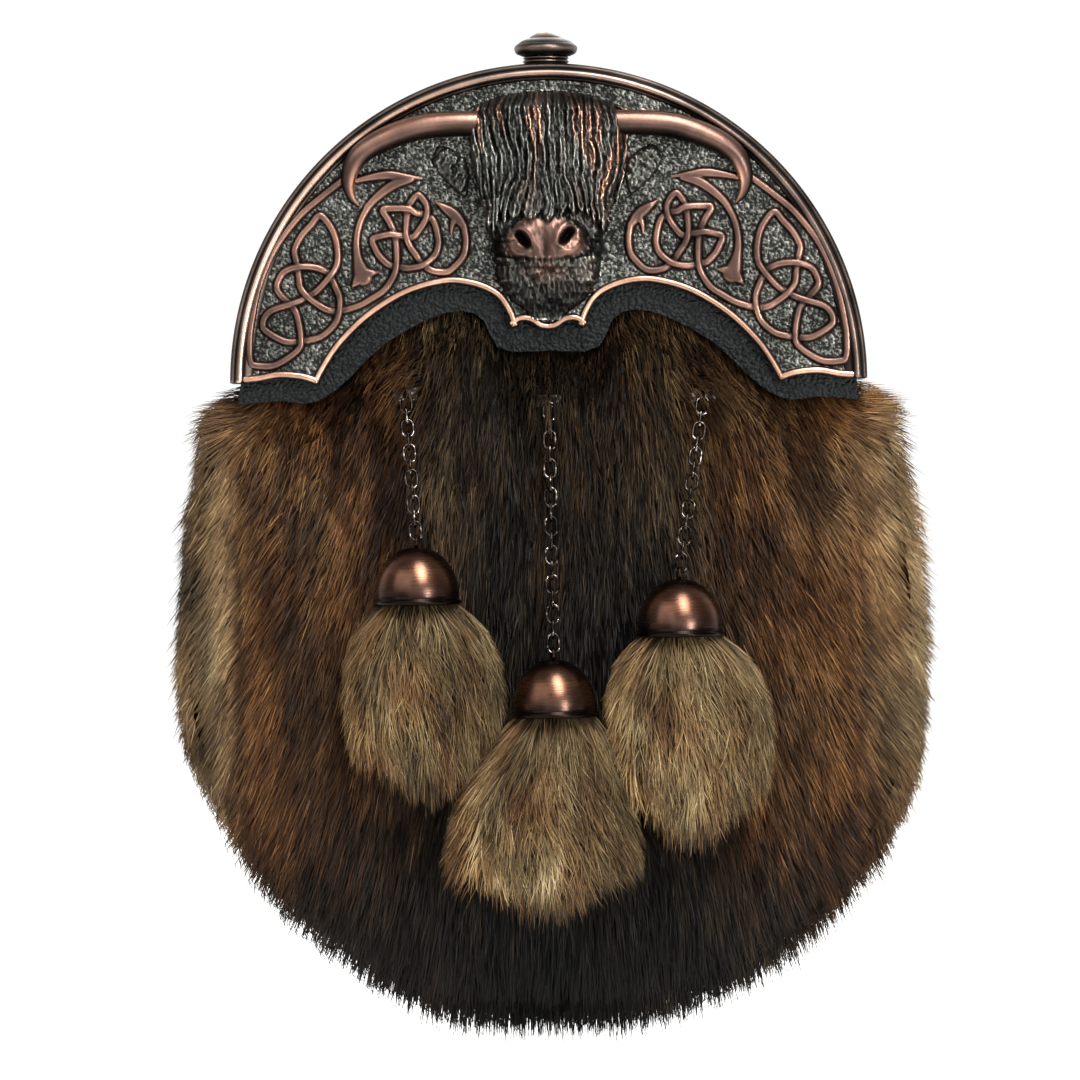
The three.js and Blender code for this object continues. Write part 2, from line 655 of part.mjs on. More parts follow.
// Links hang along a slack curve from the anchor's eye to the cap's eye. Every second link
// is turned a quarter about the chain's own line.
function makeChain(row, fromEye) {
  const toEye = new THREE.Vector3(row.capX, row.capY, row.capZ + CAP_EYE_Z);
  const reach = EYE_R + LINK_LENGTH / 2 - 3 * WIRE_R - GAP;
  const line = new THREE.QuadraticBezierCurve3(fromEye, new THREE.Vector3(
    THREE.MathUtils.lerp(fromEye.x, toEye.x, 0.5),
    THREE.MathUtils.lerp(fromEye.y, toEye.y, CHAIN_DROP),
    THREE.MathUtils.lerp(fromEye.z, toEye.z, 0.5),
  ), toEye);
  const length = line.getLength();
  const spans = 2 * Math.round((length - 2 * reach) / (2 * LINK_PITCH));
  for (let index = 0; index <= spans; index += 1) {
    const share = (reach + ((length - 2 * reach) * index) / spans) / length;
    const along = line.getTangentAt(share).negate();
    const across = new THREE.Vector3(1, 0, 0).addScaledVector(along, -along.x).normalize();
    const out = new THREE.Vector3().crossVectors(along, across);
    const link = wireRing(LINK_WIDTH / 2 - WIRE_R, (LINK_LENGTH - LINK_WIDTH) / 2);
    if (index % 2 === 1) {
      link.rotateZ(Math.PI / 2);
    }
    const number = String(index + 1).padStart(2, '0');
    const piece = addPiece(`link_${row.name}_${number}`, link, 'darkMetal');
    piece.quaternion.setFromRotationMatrix(new THREE.Matrix4().makeBasis(across, out, along));
    piece.position.copy(line.getPointAt(share));
  }
}

// ---------------------------------------------------------------- assembly

makeBackPanel();
makeGusset();
makeStrapLoops();
makeFacing();
const furFront = makeFurFront();
makeCantle();
makeButton();
TASSELS.forEach((row) => {
  const isSide = row.name !== 'centre';
  const own = makeTassel(row);
  const shape = isSide ? cutBy(own, makeTassel(TASSELS[1], TASSEL_GAP)) : own;
  addPiece(`tassel_${row.name}`, shape, 'tasselFur');
  makeCap(row);
  makeChain(row, makeAnchor(row, furFront));
});

export default pouch;
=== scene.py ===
"""Full-dress sporran pouch: cast cantle, fur front, chains with fur tassels, leather back.

Lengths in this file are millimetres measured from the arch centre, the middle of the
cantle's half circle, with +Z up and the front facing -Y. world() turns them into metres.
"""

import math

import bmesh
import bpy
import numpy as np
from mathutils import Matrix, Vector

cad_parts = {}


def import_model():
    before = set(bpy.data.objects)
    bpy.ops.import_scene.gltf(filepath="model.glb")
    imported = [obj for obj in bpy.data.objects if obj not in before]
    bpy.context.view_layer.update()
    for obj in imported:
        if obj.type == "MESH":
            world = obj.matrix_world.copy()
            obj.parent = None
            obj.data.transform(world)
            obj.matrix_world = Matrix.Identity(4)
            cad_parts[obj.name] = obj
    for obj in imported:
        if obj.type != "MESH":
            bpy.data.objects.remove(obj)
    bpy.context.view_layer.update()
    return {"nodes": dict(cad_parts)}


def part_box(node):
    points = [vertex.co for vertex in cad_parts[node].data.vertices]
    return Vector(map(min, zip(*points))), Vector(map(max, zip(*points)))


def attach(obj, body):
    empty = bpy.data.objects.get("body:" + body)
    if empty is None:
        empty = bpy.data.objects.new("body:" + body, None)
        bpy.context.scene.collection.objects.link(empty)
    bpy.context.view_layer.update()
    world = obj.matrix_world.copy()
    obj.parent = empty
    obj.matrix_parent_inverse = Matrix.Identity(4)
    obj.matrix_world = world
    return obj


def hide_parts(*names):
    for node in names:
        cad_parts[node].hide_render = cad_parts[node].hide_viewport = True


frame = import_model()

SEED = 1746
MM = 0.001
FRONT = np.array([0.0, -1.0, 0.0])
REAR = np.array([0.0, 1.0, 0.0])
UP = np.array([0.0, 0.0, 1.0])
SEGMENTS = 72                           # facets round a turned part

ARCH_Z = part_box("cantle")[0].z          # the cantle's feet stand at the arch centre's height
CANTLE_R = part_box("cantle")[1].x / MM
FIELD_Y = -28.8                         # flat ground of the cantle's face
WALL_BACK_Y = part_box("cantle")[1].y / MM


# ------------------------------------------------------------------ numbers and noise

def world(points):
    """Millimetres from the arch centre to metres in the frame."""
    moved = np.asarray(points, float) * MM
    moved[..., 2] += ARCH_Z
    return moved


def node_points(node):
    """A CAD node's corners, in millimetres from the arch centre."""
    mesh = frame["nodes"][node].data
    flat = np.empty(len(mesh.vertices) * 3)
    mesh.vertices.foreach_get("co", flat)
    points = flat.reshape(-1, 3) / MM
    points[:, 2] -= ARCH_Z / MM
    return points


def smooth_line(rows, step):
    """A smooth curve through the rows of a table, sampled about every step millimetres."""
    knots = np.array(rows, float)
    padded = np.vstack([2 * knots[0] - knots[1], knots, 2 * knots[-1] - knots[-2]])
    pieces = []
    for a, b, c, d in zip(padded, padded[1:], padded[2:], padded[3:]):
        count = max(2, int(np.ceil(np.linalg.norm((c - b)[:2]) / step)))
        t = np.linspace(0, 1, count, endpoint=False)[:, None]
        pieces.append(0.5 * (2 * b + (c - a) * t + (2 * a - 5 * b + 4 * c - d) * t**2
                             + (3 * b - a - 3 * c + d) * t**3))
    return np.vstack(pieces + [knots[-1:]])


def smoothstep(low, high, value):
    """0 below low and 1 above high, with an easy slope between."""
    t = np.clip((value - low) / (high - low), 0, 1)
    return t * t * (3 - 2 * t)


def wander(u, v, seed):
    """Smooth noise between -1 and 1 whose patches are one unit wide."""
    size = 257
    lattice = np.random.default_rng(seed).uniform(-1, 1, (size, size))
    u0, v0 = np.floor(u).astype(int), np.floor(v).astype(int)
    fu, fv = smoothstep(0, 1, u - u0), smoothstep(0, 1, v - v0)

    def at(i, j):
        return lattice[(u0 + i) % size, (v0 + j) % size]

    low = at(0, 0) * (1 - fu) + at(1, 0) * fu
    high = at(0, 1) * (1 - fu) + at(1, 1) * fu
    return low * (1 - fv) + high * fv


def unit(vectors):
    """Vectors scaled to a length of one."""
    return vectors / np.maximum(np.linalg.norm(vectors, axis=-1, keepdims=True), 1e-9)


def hill(x, z, middle, half, power=2):
    """A soft hill of height 1 over x, z, with its middle and its half widths."""
    return np.exp(-np.abs((x - middle[0]) / half[0])**power - np.abs((z - middle[1]) / half[1])**power)


def round_turns(count):
    """Angles evenly round a circle."""
    return np.linspace(0, 2 * math.pi, count, endpoint=False)


def node_axis(node):
    """Middle x and y of a CAD node, and the height of its foot above the arch centre."""
    low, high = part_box(node)
    return (low.x + high.x) / 2 / MM, (low.y + high.y) / 2 / MM, (low.z - ARCH_Z) / MM


# ------------------------------------------------------------------ materials

def linear(hex_colour):
    """An sRGB hex colour as linear RGBA."""
    channels = [int(hex_colour[i:i + 2], 16) / 255 for i in (1, 3, 5)]
    return [c / 12.92 if c <= 0.04045 else ((c + 0.055) / 1.055) ** 2.4 for c in channels] + [1]


def add_node(tree, kind, values=None, links=None, stops=None, **settings):
    """Adds a shader node with its settings, ramp stops, input values and input links."""
    node = tree.nodes.new("ShaderNode" + kind)
    for option, value in settings.items():
        setattr(node, option, value)
    for index, (position, colour) in enumerate(stops or []):
        stop = node.color_ramp.elements[index] if index < 2 else node.color_ramp.elements.new(position)
        stop.position, stop.color = position, linear(colour)
    for socket, value in (values or {}).items():
        node.inputs[socket].default_value = value
    for socket, source in (links or {}).items():
        tree.links.new(source, node.inputs[socket])
    return node


def new_material(name):
    """A material with an empty node tree."""
    material = bpy.data.materials.new(name)
    material.use_nodes = True
    material.node_tree.nodes.clear()
    return material, material.node_tree


def finish_material(tree, shader):
    """Joins a shader to the material's output."""
    add_node(tree, "OutputMaterial", links={"Surface": shader.outputs["BSDF"]})


def antique_copper():
    """Cast zinc plated with copper, blackened, then rubbed back by hand.

    The black stays in the recesses and on the stippled ground, and the copper comes
    through on everything that stands up. Attributes from the relief say how deep a point
    lies and how much of it was rubbed; on some pieces the rubbed value also carries
    painted highlights and painted shade.
    """
    material, tree = new_material("antique_copper_cast")
    rubbed = add_node(tree, "Attribute", attribute_name="rubbed")
    ground = add_node(tree, "Attribute", attribute_name="ground")
    place = add_node(tree, "TexCoord")
    stain = add_node(tree, "TexNoise", {"Scale": 90, "Detail": 4, "Roughness": 0.6},
                     {"Vector": place.outputs["Object"]})
    grain = add_node(tree, "TexNoise", {"Scale": 1500, "Detail": 2},
                     {"Vector": place.outputs["Object"]})
    spread = add_node(tree, "MapRange", {"From Min": 0.3, "From Max": 0.7, "To Min": -0.11, "To Max": 0.11},
                      {"Value": stain.outputs["Fac"]})
    wear = add_node(tree, "Math", links={0: rubbed.outputs["Fac"], 1: spread.outputs["Result"]},
                    operation="ADD", use_clamp=True)
    copper = add_node(tree, "ValToRGB", links={"Fac": wear.outputs["Value"]}, stops=[
        (0.0, "#0c0908"), (0.3, "#2a211d"), (0.55, "#54413a"), (0.78, "#866659"), (0.9, "#b58467"),
        (1.0, "#dab79f")])
    pewter = add_node(tree, "ValToRGB", links={"Fac": wear.outputs["Value"]}, stops=[
        (0.0, "#0b0b0a"), (0.3, "#222321"), (0.6, "#53534e"), (1.0, "#a19f97")])
    colour = add_node(tree, "Mix", links={0: ground.outputs["Fac"], 6: copper.outputs["Color"],
                                          7: pewter.outputs["Color"]}, data_type="RGBA")
    dull = add_node(tree, "MapRange", {"To Min": 0.55, "To Max": 0.27}, {"Value": wear.outputs["Value"]})
    bump = add_node(tree, "Bump", {"Strength": 0.25, "Distance": 0.00012},
                    {"Height": grain.outputs["Fac"]})
    shader = add_node(tree, "BsdfPrincipled", {"Metallic": 1.0}, {
        "Base Color": colour.outputs[2], "Roughness": dull.outputs["Result"],
        "Normal": bump.outputs["Normal"]})
    finish_material(tree, shader)
    return material


def spun_copper():
    """Thin brass spun to a dome, copper plated, darkened and brushed round its axis.

    The brushing leaves fine rings that stretch each highlight up and down, and the
    darkening stays at the rim and near the eye, where the brush doesn't reach.
    """
    material, tree = new_material("spun_copper")
    height = add_node(tree, "Attribute", attribute_name="height")
    place = add_node(tree, "TexCoord")
    rings = add_node(tree, "Attribute", attribute_name="around")
    lines = add_node(tree, "TexNoise", {"Scale": 1.0, "Detail": 3}, {"Vector": rings.outputs["Vector"]})
    stain = add_node(tree, "TexNoise", {"Scale": 260, "Detail": 4}, {"Vector": place.outputs["Object"]})
    shade = add_node(tree, "ValToRGB", links={"Fac": height.outputs["Fac"]}, stops=[
        (0.0, "#14100f"), (0.12, "#231b18"), (0.26, "#4f3a31"), (0.6, "#75513f"), (0.8, "#5a4034"),
        (1.0, "#1c1412")])
    patch = add_node(tree, "MapRange", {"From Min": 0.35, "From Max": 0.7, "To Min": 0.72, "To Max": 1.08},
                     {"Value": stain.outputs["Fac"]})
    colour = add_node(tree, "VectorMath", links={0: shade.outputs["Color"], 1: patch.outputs["Result"]},
                      operation="MULTIPLY")
    bump = add_node(tree, "Bump", {"Strength": 0.35, "Distance": 0.00008}, {"Height": lines.outputs["Fac"]})
    rough = add_node(tree, "MapRange", {"To Min": 0.2, "To Max": 0.34}, {"Value": lines.outputs["Fac"]})
    shader = add_node(tree, "BsdfPrincipled", {"Metallic": 1.0}, {
        "Base Color": colour.outputs["Vector"], "Roughness": rough.outputs["Result"],
        "Normal": bump.outputs["Normal"]})
    finish_material(tree, shader)
    return material


def blackened_wire():
    """Copper-plated steel wire bent into links and blackened.

    Tumbling rubs the outside of each link bright in spots, and the rest stays dark.
    """
    material, tree = new_material("blackened_chain_wire")
    place = add_node(tree, "TexCoord")
    spots = add_node(tree, "TexNoise", {"Scale": 700, "Detail": 3}, {"Vector": place.outputs["Object"]})
    colour = add_node(tree, "ValToRGB", links={"Fac": spots.outputs["Fac"]}, stops=[
        (0.36, "#14110f"), (0.56, "#38312d"), (0.72, "#a4988f")])
    shader = add_node(tree, "BsdfPrincipled", {"Metallic": 1.0, "Roughness": 0.17},
                      {"Base Color": colour.outputs["Color"]})
    finish_material(tree, shader)
    return material


def black_leather(name, pebble_mm, sheen):
    """Chrome-tanned cowhide, dyed black and embossed with a fine pebble grain.

    The grain breaks the light into small dull glints, and the hollows between the pebbles
    stay black.
    """
    material, tree = new_material(name)
    place = add_node(tree, "TexCoord")
    pebbles = add_node(tree, "TexVoronoi", {"Scale": 1 / (pebble_mm * MM)},
                       {"Vector": place.outputs["Object"]}, feature="SMOOTH_F1")
    folds = add_node(tree, "TexNoise", {"Scale": 160, "Detail": 5}, {"Vector": place.outputs["Object"]})
    height = add_node(tree, "Math", {1: -1.2}, {0: pebbles.outputs["Distance"],
                      2: folds.outputs["Fac"]}, operation="MULTIPLY_ADD")
    bump = add_node(tree, "Bump", {"Strength": 1.0, "Distance": 0.0005}, {"Height": height.outputs["Value"]})
    colour = add_node(tree, "ValToRGB", links={"Fac": pebbles.outputs["Distance"]}, stops=[
        (0.1, "#0d1011"), (0.45, "#060708"), (0.8, "#010101")])
    shader = add_node(tree, "BsdfPrincipled", {"Roughness": 0.46, "IOR": 1.5, "Specular IOR Level": sheen}, {
        "Base Color": colour.outputs["Color"], "Normal": bump.outputs["Normal"]})
    finish_material(tree, shader)
    return material


def waxed_thread():
    """Waxed linen thread, twisted, dark from handling, with a low waxy shine."""
    material, tree = new_material("waxed_linen_thread")
    place = add_node(tree, "TexCoord")
    twist = add_node(tree, "TexWave", {"Scale": 900, "Distortion": 1.5}, {"Vector": place.outputs["Object"]},
                     bands_direction="DIAGONAL")
    colour = add_node(tree, "ValToRGB", links={"Fac": twist.outputs["Fac"]}, stops=[
        (0.0, "#171514"), (1.0, "#4a443e")])
    shader = add_node(tree, "BsdfPrincipled", {"Roughness": 0.45}, {"Base Color": colour.outputs["Color"]})
    finish_material(tree, shader)
    return material


def guard_hair(name, olive, rusty):
    """Muskrat fur: long straight guard hairs over a dense woolly undercoat.

    Each hair is darker towards its root, is a little glossier than wool, and differs from
    its neighbours, so the pelt looks streaked along the way it lies.
    """
    material, tree = new_material(name)
    tone = add_node(tree, "Attribute", attribute_name="tone")
    rust = add_node(tree, "Attribute", attribute_name="rust")
    olive_hair = add_node(tree, "ValToRGB", links={"Fac": tone.outputs["Fac"]}, stops=olive)
    rusty_hair = add_node(tree, "ValToRGB", links={"Fac": tone.outputs["Fac"]}, stops=rusty)
    colour = add_node(tree, "Mix", links={0: rust.outputs["Fac"], 6: olive_hair.outputs["Color"],
                                          7: rusty_hair.outputs["Color"]}, data_type="RGBA")
    shader = add_node(tree, "BsdfPrincipled", {"Roughness": 0.5, "Specular IOR Level": 0.1},
                      {"Base Color": colour.outputs[2]})
    finish_material(tree, shader)
    return material


# ------------------------------------------------------------------ meshes

def make_piece(name, points, faces, material, slot, body="pouch", **attributes):
    """A mesh piece from points in millimetres and equal-sided faces, riding on a body.

    Attributes hold one number or one vector for each point.
    """
    mesh = bpy.data.meshes.new(name)
    points = points.reshape(-1, 3)
    faces = np.asarray(faces, np.int32)
    count, sides = faces.shape
    mesh.vertices.add(len(points))
    mesh.vertices.foreach_set("co", world(points).ravel())
    mesh.loops.add(faces.size)
    mesh.loops.foreach_set("vertex_index", faces.ravel())
    mesh.polygons.add(count)
    mesh.polygons.foreach_set("loop_start", np.arange(0, faces.size, sides, dtype=np.int32))
    mesh.polygons.foreach_set("loop_total", np.full(count, sides, np.int32))
    mesh.polygons.foreach_set("use_smooth", np.full(count, True))
    mesh.update(calc_edges=True)
    for attribute, values in attributes.items():
        is_vector = np.size(values) == 3 * len(points)
        kind, key = ("FLOAT_VECTOR", "vector") if is_vector else ("FLOAT", "value")
        layer = mesh.attributes.new(attribute, kind, "POINT")
        layer.data.foreach_set(key, np.asarray(values, np.float32).ravel())
    mesh.materials.append(material)
    piece = bpy.data.objects.new(name, mesh)
    bpy.context.scene.collection.objects.link(piece)
    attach(piece, body)
    return piece


def grid_faces(rows, columns, is_closed_across=False, is_closed_along=False):
    """Quads of a grid of points, rows by columns, each way round if it closes."""
    i = np.arange(rows if is_closed_along else rows - 1)[:, None]
    j = np.arange(columns if is_closed_across else columns - 1)[None, :]
    i1, j1 = (i + 1) % rows, (j + 1) % columns
    corners = [i * columns + j, i * columns + j1, i1 * columns + j1, i1 * columns + j]
    return np.stack([np.broadcast_to(c, (i.size, j.size)) for c in corners], -1).reshape(-1, 4)


def swept(path, out, up, section):
    """Points of a section carried along a path: rows of the path by section columns."""
    return path[:, None] + out[:, None] * section[..., 0:1] + up * section[..., 1:2]


def turned(profile, x, y, z=0, is_ring=False):
    """Points and faces of a form turned about an upright axis, from its radius and height."""
    radius, height = np.array(profile, float)[:, :2].T[..., None]
    angle = round_turns(SEGMENTS)
    points = np.stack([x + radius * np.cos(angle), y + radius * np.sin(angle),
                       np.broadcast_to(z + height, (len(radius), SEGMENTS))], -1)
    return points.reshape(-1, 3), grid_faces(len(radius), SEGMENTS, True, is_ring)


def joined(parts):
    """Several meshes, each points and faces, as one."""
    starts = np.cumsum([0] + [len(points) for points, _ in parts[:-1]])
    return (np.vstack([points for points, _ in parts]),
            np.vstack([faces + start for (_, faces), start in zip(parts, starts)]))


def close_ends(piece, rows, columns):
    """Caps both ends of a swept piece with one flat face each."""
    first = list(range(columns))
    last = [(rows - 1) * columns + i for i in range(columns)][::-1]
    solid = bmesh.new()
    solid.from_mesh(piece.data)
    solid.verts.ensure_lookup_table()
    for ring in (first, last):
        solid.faces.new([solid.verts[i] for i in ring])
    bmesh.ops.recalc_face_normals(solid, faces=solid.faces)
    solid.to_mesh(piece.data)
    solid.free()


# ------------------------------------------------------------------ cantle

# Right half of the cantle's lower edge, from the foot inwards: smooth runs that meet in
# points, columns x, z.
LOWER_EDGE_RUNS = (
    ((77.6, 0.2), (73, 0.5), (67.5, 1.4), (62, 0.9), (57.9, -0.4)),
    ((57.9, -0.4), (55.3, 4.4), (51.3, 10), (44.5, 16.5), (35.5, 22), (26, 24.6), (19, 24),
     (13.3, 21.5), (10.4, 17.6), (9, 13.4)),
    ((9, 13.4), (7, 15), (4.6, 14.9), (2.2, 13.4), (0, 12.9)),
)

# Left knot, one strand from its upper end: columns x, z, level. Where the strand crosses
# itself it is over at level 1 and under at level -1.
KNOT_STRAND = (
    (-50.6, 51.4, 0), (-56.8, 46.7, 0), (-62.7, 41.5, 0), (-68.5, 33.7, 0), (-72.5, 24.2, 0),
    (-74.6, 14.1, 0), (-75, 9, 0), (-74.7, 5.7, 0), (-73.5, 4.7, 0), (-68.5, 4.8, 0),
    (-63, 8.3, 0.5), (-62, 11.4, 1), (-63, 17.5, 0), (-65, 20.2, -1), (-67.8, 23.6, 0),
    (-67.4, 26.3, 0), (-65.8, 28.3, 0),
    (-62.7, 29.3, 1), (-59.3, 29.3, 0.3), (-56.6, 28.6, 0), (-54.7, 27.3, -1), (-53.2, 24.2, 0),
    (-52.2, 21.5, 0), (-52.3, 18.2, 1), (-53.6, 14.8, 0), (-56.6, 12, 0), (-59.7, 11, 0),
    (-62, 10.7, -1), (-66.1, 10.7, 0), (-70.8, 13.4, 0), (-71.5, 15.4, 0), (-70.5, 17.5, 0),
    (-68.5, 18.8, 0.4), (-65.1, 19.8, 1), (-62, 20.9, 0), (-60.3, 22.1, -1), (-58, 23.2, 0),
    (-54.6, 26.9, 1), (-52.9, 29.7, 0), (-52.6, 33, 0), (-53.2, 36.8, 0), (-54.6, 39.8, 0),
    (-57, 42.2, 0), (-59.3, 39.8, 0), (-61.7, 37.1, 0), (-63.4, 33.7, 0), (-63, 31, 0),
    (-62.7, 29.3, -1), (-62.4, 26.9, 0), (-62, 24.2, 0), (-60.3, 21.9, 1), (-57.6, 19.8, 0),
    (-55.3, 18.5, 0), (-52.8, 18.1, -1), (-49.8, 18.7, 0), (-46.9, 19.7, 0), (-44.1, 21.3, 0),
    (-41.2, 23.2, 0), (-39.3, 25.7, 0), (-38, 28.8, 1), (-37.8, 33.4, 0), (-38.3, 37.2, -1),
    (-39.5, 40.4, 0), (-41.2, 43.4, 0), (-39.1, 43.8, 0), (-34.7, 43.6, 1), (-32.8, 42.6, 0),
    (-30.6, 42.1, -1), (-28.4, 40.4, 0), (-27.3, 35.8, 0), (-27.7, 33.1, 0), (-28.9, 31.3, 0),
    (-31.3, 29.5, 1), (-34.9, 28.8, 0), (-37.8, 29.3, -1), (-40, 29.8, 0), (-42.2, 32, 0),
    (-43.2, 33.9, 0), (-43.9, 36, 0), (-42.2, 36.8, 0), (-39.5, 37.3, 1), (-37.1, 37, 0),
    (-35.4, 36.7, -1), (-33.7, 36.6, 0), (-32.1, 38.4, 0), (-30.3, 41.5, 1), (-30.3, 44.7, 0),
    (-32.3, 47.1, 0), (-34.1, 45.4, 0), (-34.9, 43.6, -1), (-35.4, 38.7, 0), (-35.2, 36.3, 1),
    (-34.2, 33.9, 0), (-32.8, 31.9, 0), (-31.6, 30.1, -1), (-28.9, 28.1, 0), (-25.3, 27.8, 0),
    (-22.9, 29.5, 0), (-20.9, 32.2, 0), (-20.4, 35.8, 0), (-20.9, 39.4, 0),
)
STRAND_HALF = 1.0
STRAND_HEIGHT = 1.15

# Leaves and blades beside the left knot: columns x, z, half width.
CRESCENT_STROKES = (
    ((-47.9, 50.9, 0.8), (-43.5, 51.8, 1.1), (-39.6, 52.2, 1.3), (-35.5, 51.7, 1.0), (-31.1, 51.3, 0.25)),
    ((-34, 51, 0.9), (-38.7, 49.6, 1.4), (-43.4, 46, 1.15), (-45.9, 42.6, 1), (-47.4, 38.8, 1),
     (-47.9, 35, 1.05), (-47.6, 31.5, 1.3), (-46.9, 28.6, 2), (-46.3, 26.8, 2.6)),
    ((-46.4, 27.4, 1.9), (-44.4, 27.6, 1.1), (-42.4, 27.9, 0.25)),
    ((-46.8, 26.6, 2.1), (-48, 25.4, 1.2), (-49, 24.2, 0.3)),
    ((-20.9, 39.2, 1), (-22.6, 41.4, 1.5), (-24.6, 43.1, 1.4), (-27.9, 45.3, 0.25)),
    ((-22.8, 41.6, 1.3), (-23.8, 39.6, 0.8), (-24.1, 37.3, 0.25)),
)

# Right horn from its root to its tip, mirrored for the left: columns x, z, half thickness.
HORN_LINE = (
    (17, 64.8, 3.1), (24, 64.7, 3.2), (31, 64.1, 3.2), (37.5, 62.3, 3.1), (43.4, 59.7, 2.85),
    (47.4, 56.6, 2.55), (49.4, 52.9, 2.15), (49.8, 49.5, 1.65), (48.9, 46.5, 1.05), (47.2, 44.3, 0.3),
)
HORN_SIDES = 20


def lower_edge():
    """The cantle's whole lower edge from the right foot to the left, about every 0.4 mm."""
    runs = [smooth_line(run, 0.4) for run in LOWER_EDGE_RUNS]
    right = np.vstack([run[:-1] for run in runs] + [runs[-1][-1:]])
    return np.vstack([right, (right * [-1, 1])[::-1][1:]])


def blurred(height, passes):
    """A grid of heights softened by so many passes over its neighbours."""
    for _ in range(passes):
        height = (2 * height + np.roll(height, 1, 0) + np.roll(height, -1, 0)
                  + np.roll(height, 1, 1) + np.roll(height, -1, 1)) / 6
    return height


def stamp_stroke(height, xs, zs, line):
    """Raises a rounded band along a line of x, z, half width and height at its middle."""
    step = xs[1] - xs[0]
    for x, z, half, top in line:
        i0, i1 = np.searchsorted(xs, [x - half - step, x + half + step])
        j0, j1 = np.searchsorted(zs, [z - half - step, z + half + step])
        away = ((xs[i0:i1, None] - x)**2 + (zs[None, j0:j1] - z)**2) / half**2
        rounded = top * np.clip(1 - away**2, 0, 1)**0.6
        height[i0:i1, j0:j1] = np.maximum(height[i0:i1, j0:j1], rounded)


def ornament(height, xs, zs):
    """Knot strands and crescents on both sides of the field."""
    strand = smooth_line(KNOT_STRAND, 0.2)
    tops = STRAND_HEIGHT + np.where(strand[:, 2] > 0, 0.35, 0.5) * strand[:, 2]
    knot = np.column_stack([strand[:, :2], np.full(len(strand), STRAND_HALF), tops])
    for stroke in CRESCENT_STROKES:
        line = smooth_line(stroke, 0.2)
        half = np.maximum(line[:, 2], 0.2)
        tops = STRAND_HEIGHT * np.minimum(half, 1)**0.5
        knot = np.vstack([knot, np.column_stack([line[:, :2], half, tops])])
    for side in (1, -1):
        stamp_stroke(height, xs, zs, knot * [side, 1, 1, 1])


def relief_piece(name, xs, zs, height, inside, rubbed, ground, material):
    """A grid of heights over the cantle's face, kept where inside is true."""
    index = np.full(inside.shape, -1)
    index[inside] = np.arange(inside.sum())
    cells = grid_faces(*inside.shape)
    corners = index.ravel()[cells]
    x, z = np.meshgrid(xs, zs, indexing="ij")
    points = np.stack([x, FIELD_Y - height, z], -1)[inside]
    faces = corners[(corners >= 0).all(1)][:, ::-1]
    piece = make_piece(name, points, faces, material, "antique_copper",
                       rubbed=rubbed[inside], ground=ground[inside])
    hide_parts("cantle")


def cast_strip(name, path, out, section, rubbed, ground, material):
    """A section swept along a path on the cantle's face, closed at both ends."""
    rows, columns = len(path), section.shape[-2]
    piece = make_piece(name, swept(path, out, FRONT, section), grid_faces(rows, columns, True), material,
                       "antique_copper", rubbed=rubbed, ground=np.full(rows * columns, ground))
    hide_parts("cantle")
    close_ends(piece, rows, columns)


FIELD_STEP = 0.285
FIELD_R = 78                            # the ground runs in under the rim


def make_field(material):
    """The flat of the cantle's face: stippled ground with knots and crescents raised on it."""
    xs = np.arange(-78.5, 78.5, FIELD_STEP)
    zs = np.arange(0.4, 78.5, FIELD_STEP)
    x, z = np.meshgrid(xs, zs, indexing="ij")
    bands = np.zeros(x.shape)
    ornament(bands, xs, zs)
    grains = np.random.default_rng(SEED + 2).uniform(-1, 1, x.shape)
    grains = 0.3 * grains + 0.8 * blurred(grains, 1)
    stipple = smoothstep(-0.4, 0.6, grains + 0.12 * wander(x / 3, z / 3, 1))
    clear = smoothstep(0.05, 0.3, bands)
    height = bands + (1 - clear) * 0.2 * stipple
    ridge = height - blurred(height, 14)
    # Ground beside the bands is darkened, partly blackening left in the recess and partly painted shade where
    # the bands meet the ground.
    band_edge_patina_and_shade = smoothstep(0.02, 0.4, blurred(bands, 6)) * (1 - clear)
    rubbed_ground = (0.2 + 0.52 * stipple) * (1 - 0.95 * band_edge_patina_and_shade)
    rubbed_bands = np.clip(0.46 + 0.85 * ridge + 0.12 * wander(x / 9, z / 9, 3), 0.1, 0.95)
    rubbed = clear * rubbed_bands + (1 - clear) * np.clip(rubbed_ground, 0.02, 1)
    ground = (1 - clear) * (1 - 0.8 * band_edge_patina_and_shade)
    edge = lower_edge()[::-1]
    inside = (np.hypot(x, z) < FIELD_R) & (z > np.interp(x, edge[:, 0], edge[:, 1]) + 0.5)
    is_under_head = np.hypot(x / 11.5, (z - 45) / 22) < 1
    inside &= ~is_under_head
    relief_piece("cantle_field", xs, zs, height, inside, rubbed, ground, material)


# Section of the cantle's frame from its side wall over the outer bevel and the bead to the
# inner slope and back behind the face: columns out, forward, how rubbed.
WALL_REAR = FIELD_Y - WALL_BACK_Y        # rear edge of the side wall, well behind the face
RIM_SECTION = np.array([
    (0, WALL_REAR, 0.3), (0, WALL_REAR / 2, 0.32), (0, -0.6, 0.34), (-0.1, 0.1, 0.25), (-0.4, 0.6, 0.5),
    (-0.8, 0.85, 0.55), (-1.15, 0.65, 0.08), (-1.35, 0.75, 0.15), (-1.65, 1.35, 0.5), (-2.1, 1.8, 0.82),
    (-2.65, 1.9, 0.92), (-3.15, 1.6, 0.75), (-3.45, 1.1, 0.35), (-3.65, 0.75, 0.08), (-4.2, 0.75, 0.42),
    (-5.2, 0.4, 0.38), (-5.9, 0.1, 0.28), (-6.1, -0.4, 0.05), (-5.9, -1.5, 0.05), (-2, -2, 0.1),
    (-2, WALL_REAR / 2, 0.1), (-2, WALL_REAR, 0.2)])
SLOPE_ROWS = slice(13, 19)              # the inner slope, which narrows towards the top of the arch
RIM_STEPS = 361
RIM_FOOT = 0.005                        # turn from the level of the arch centre up to the rim's feet


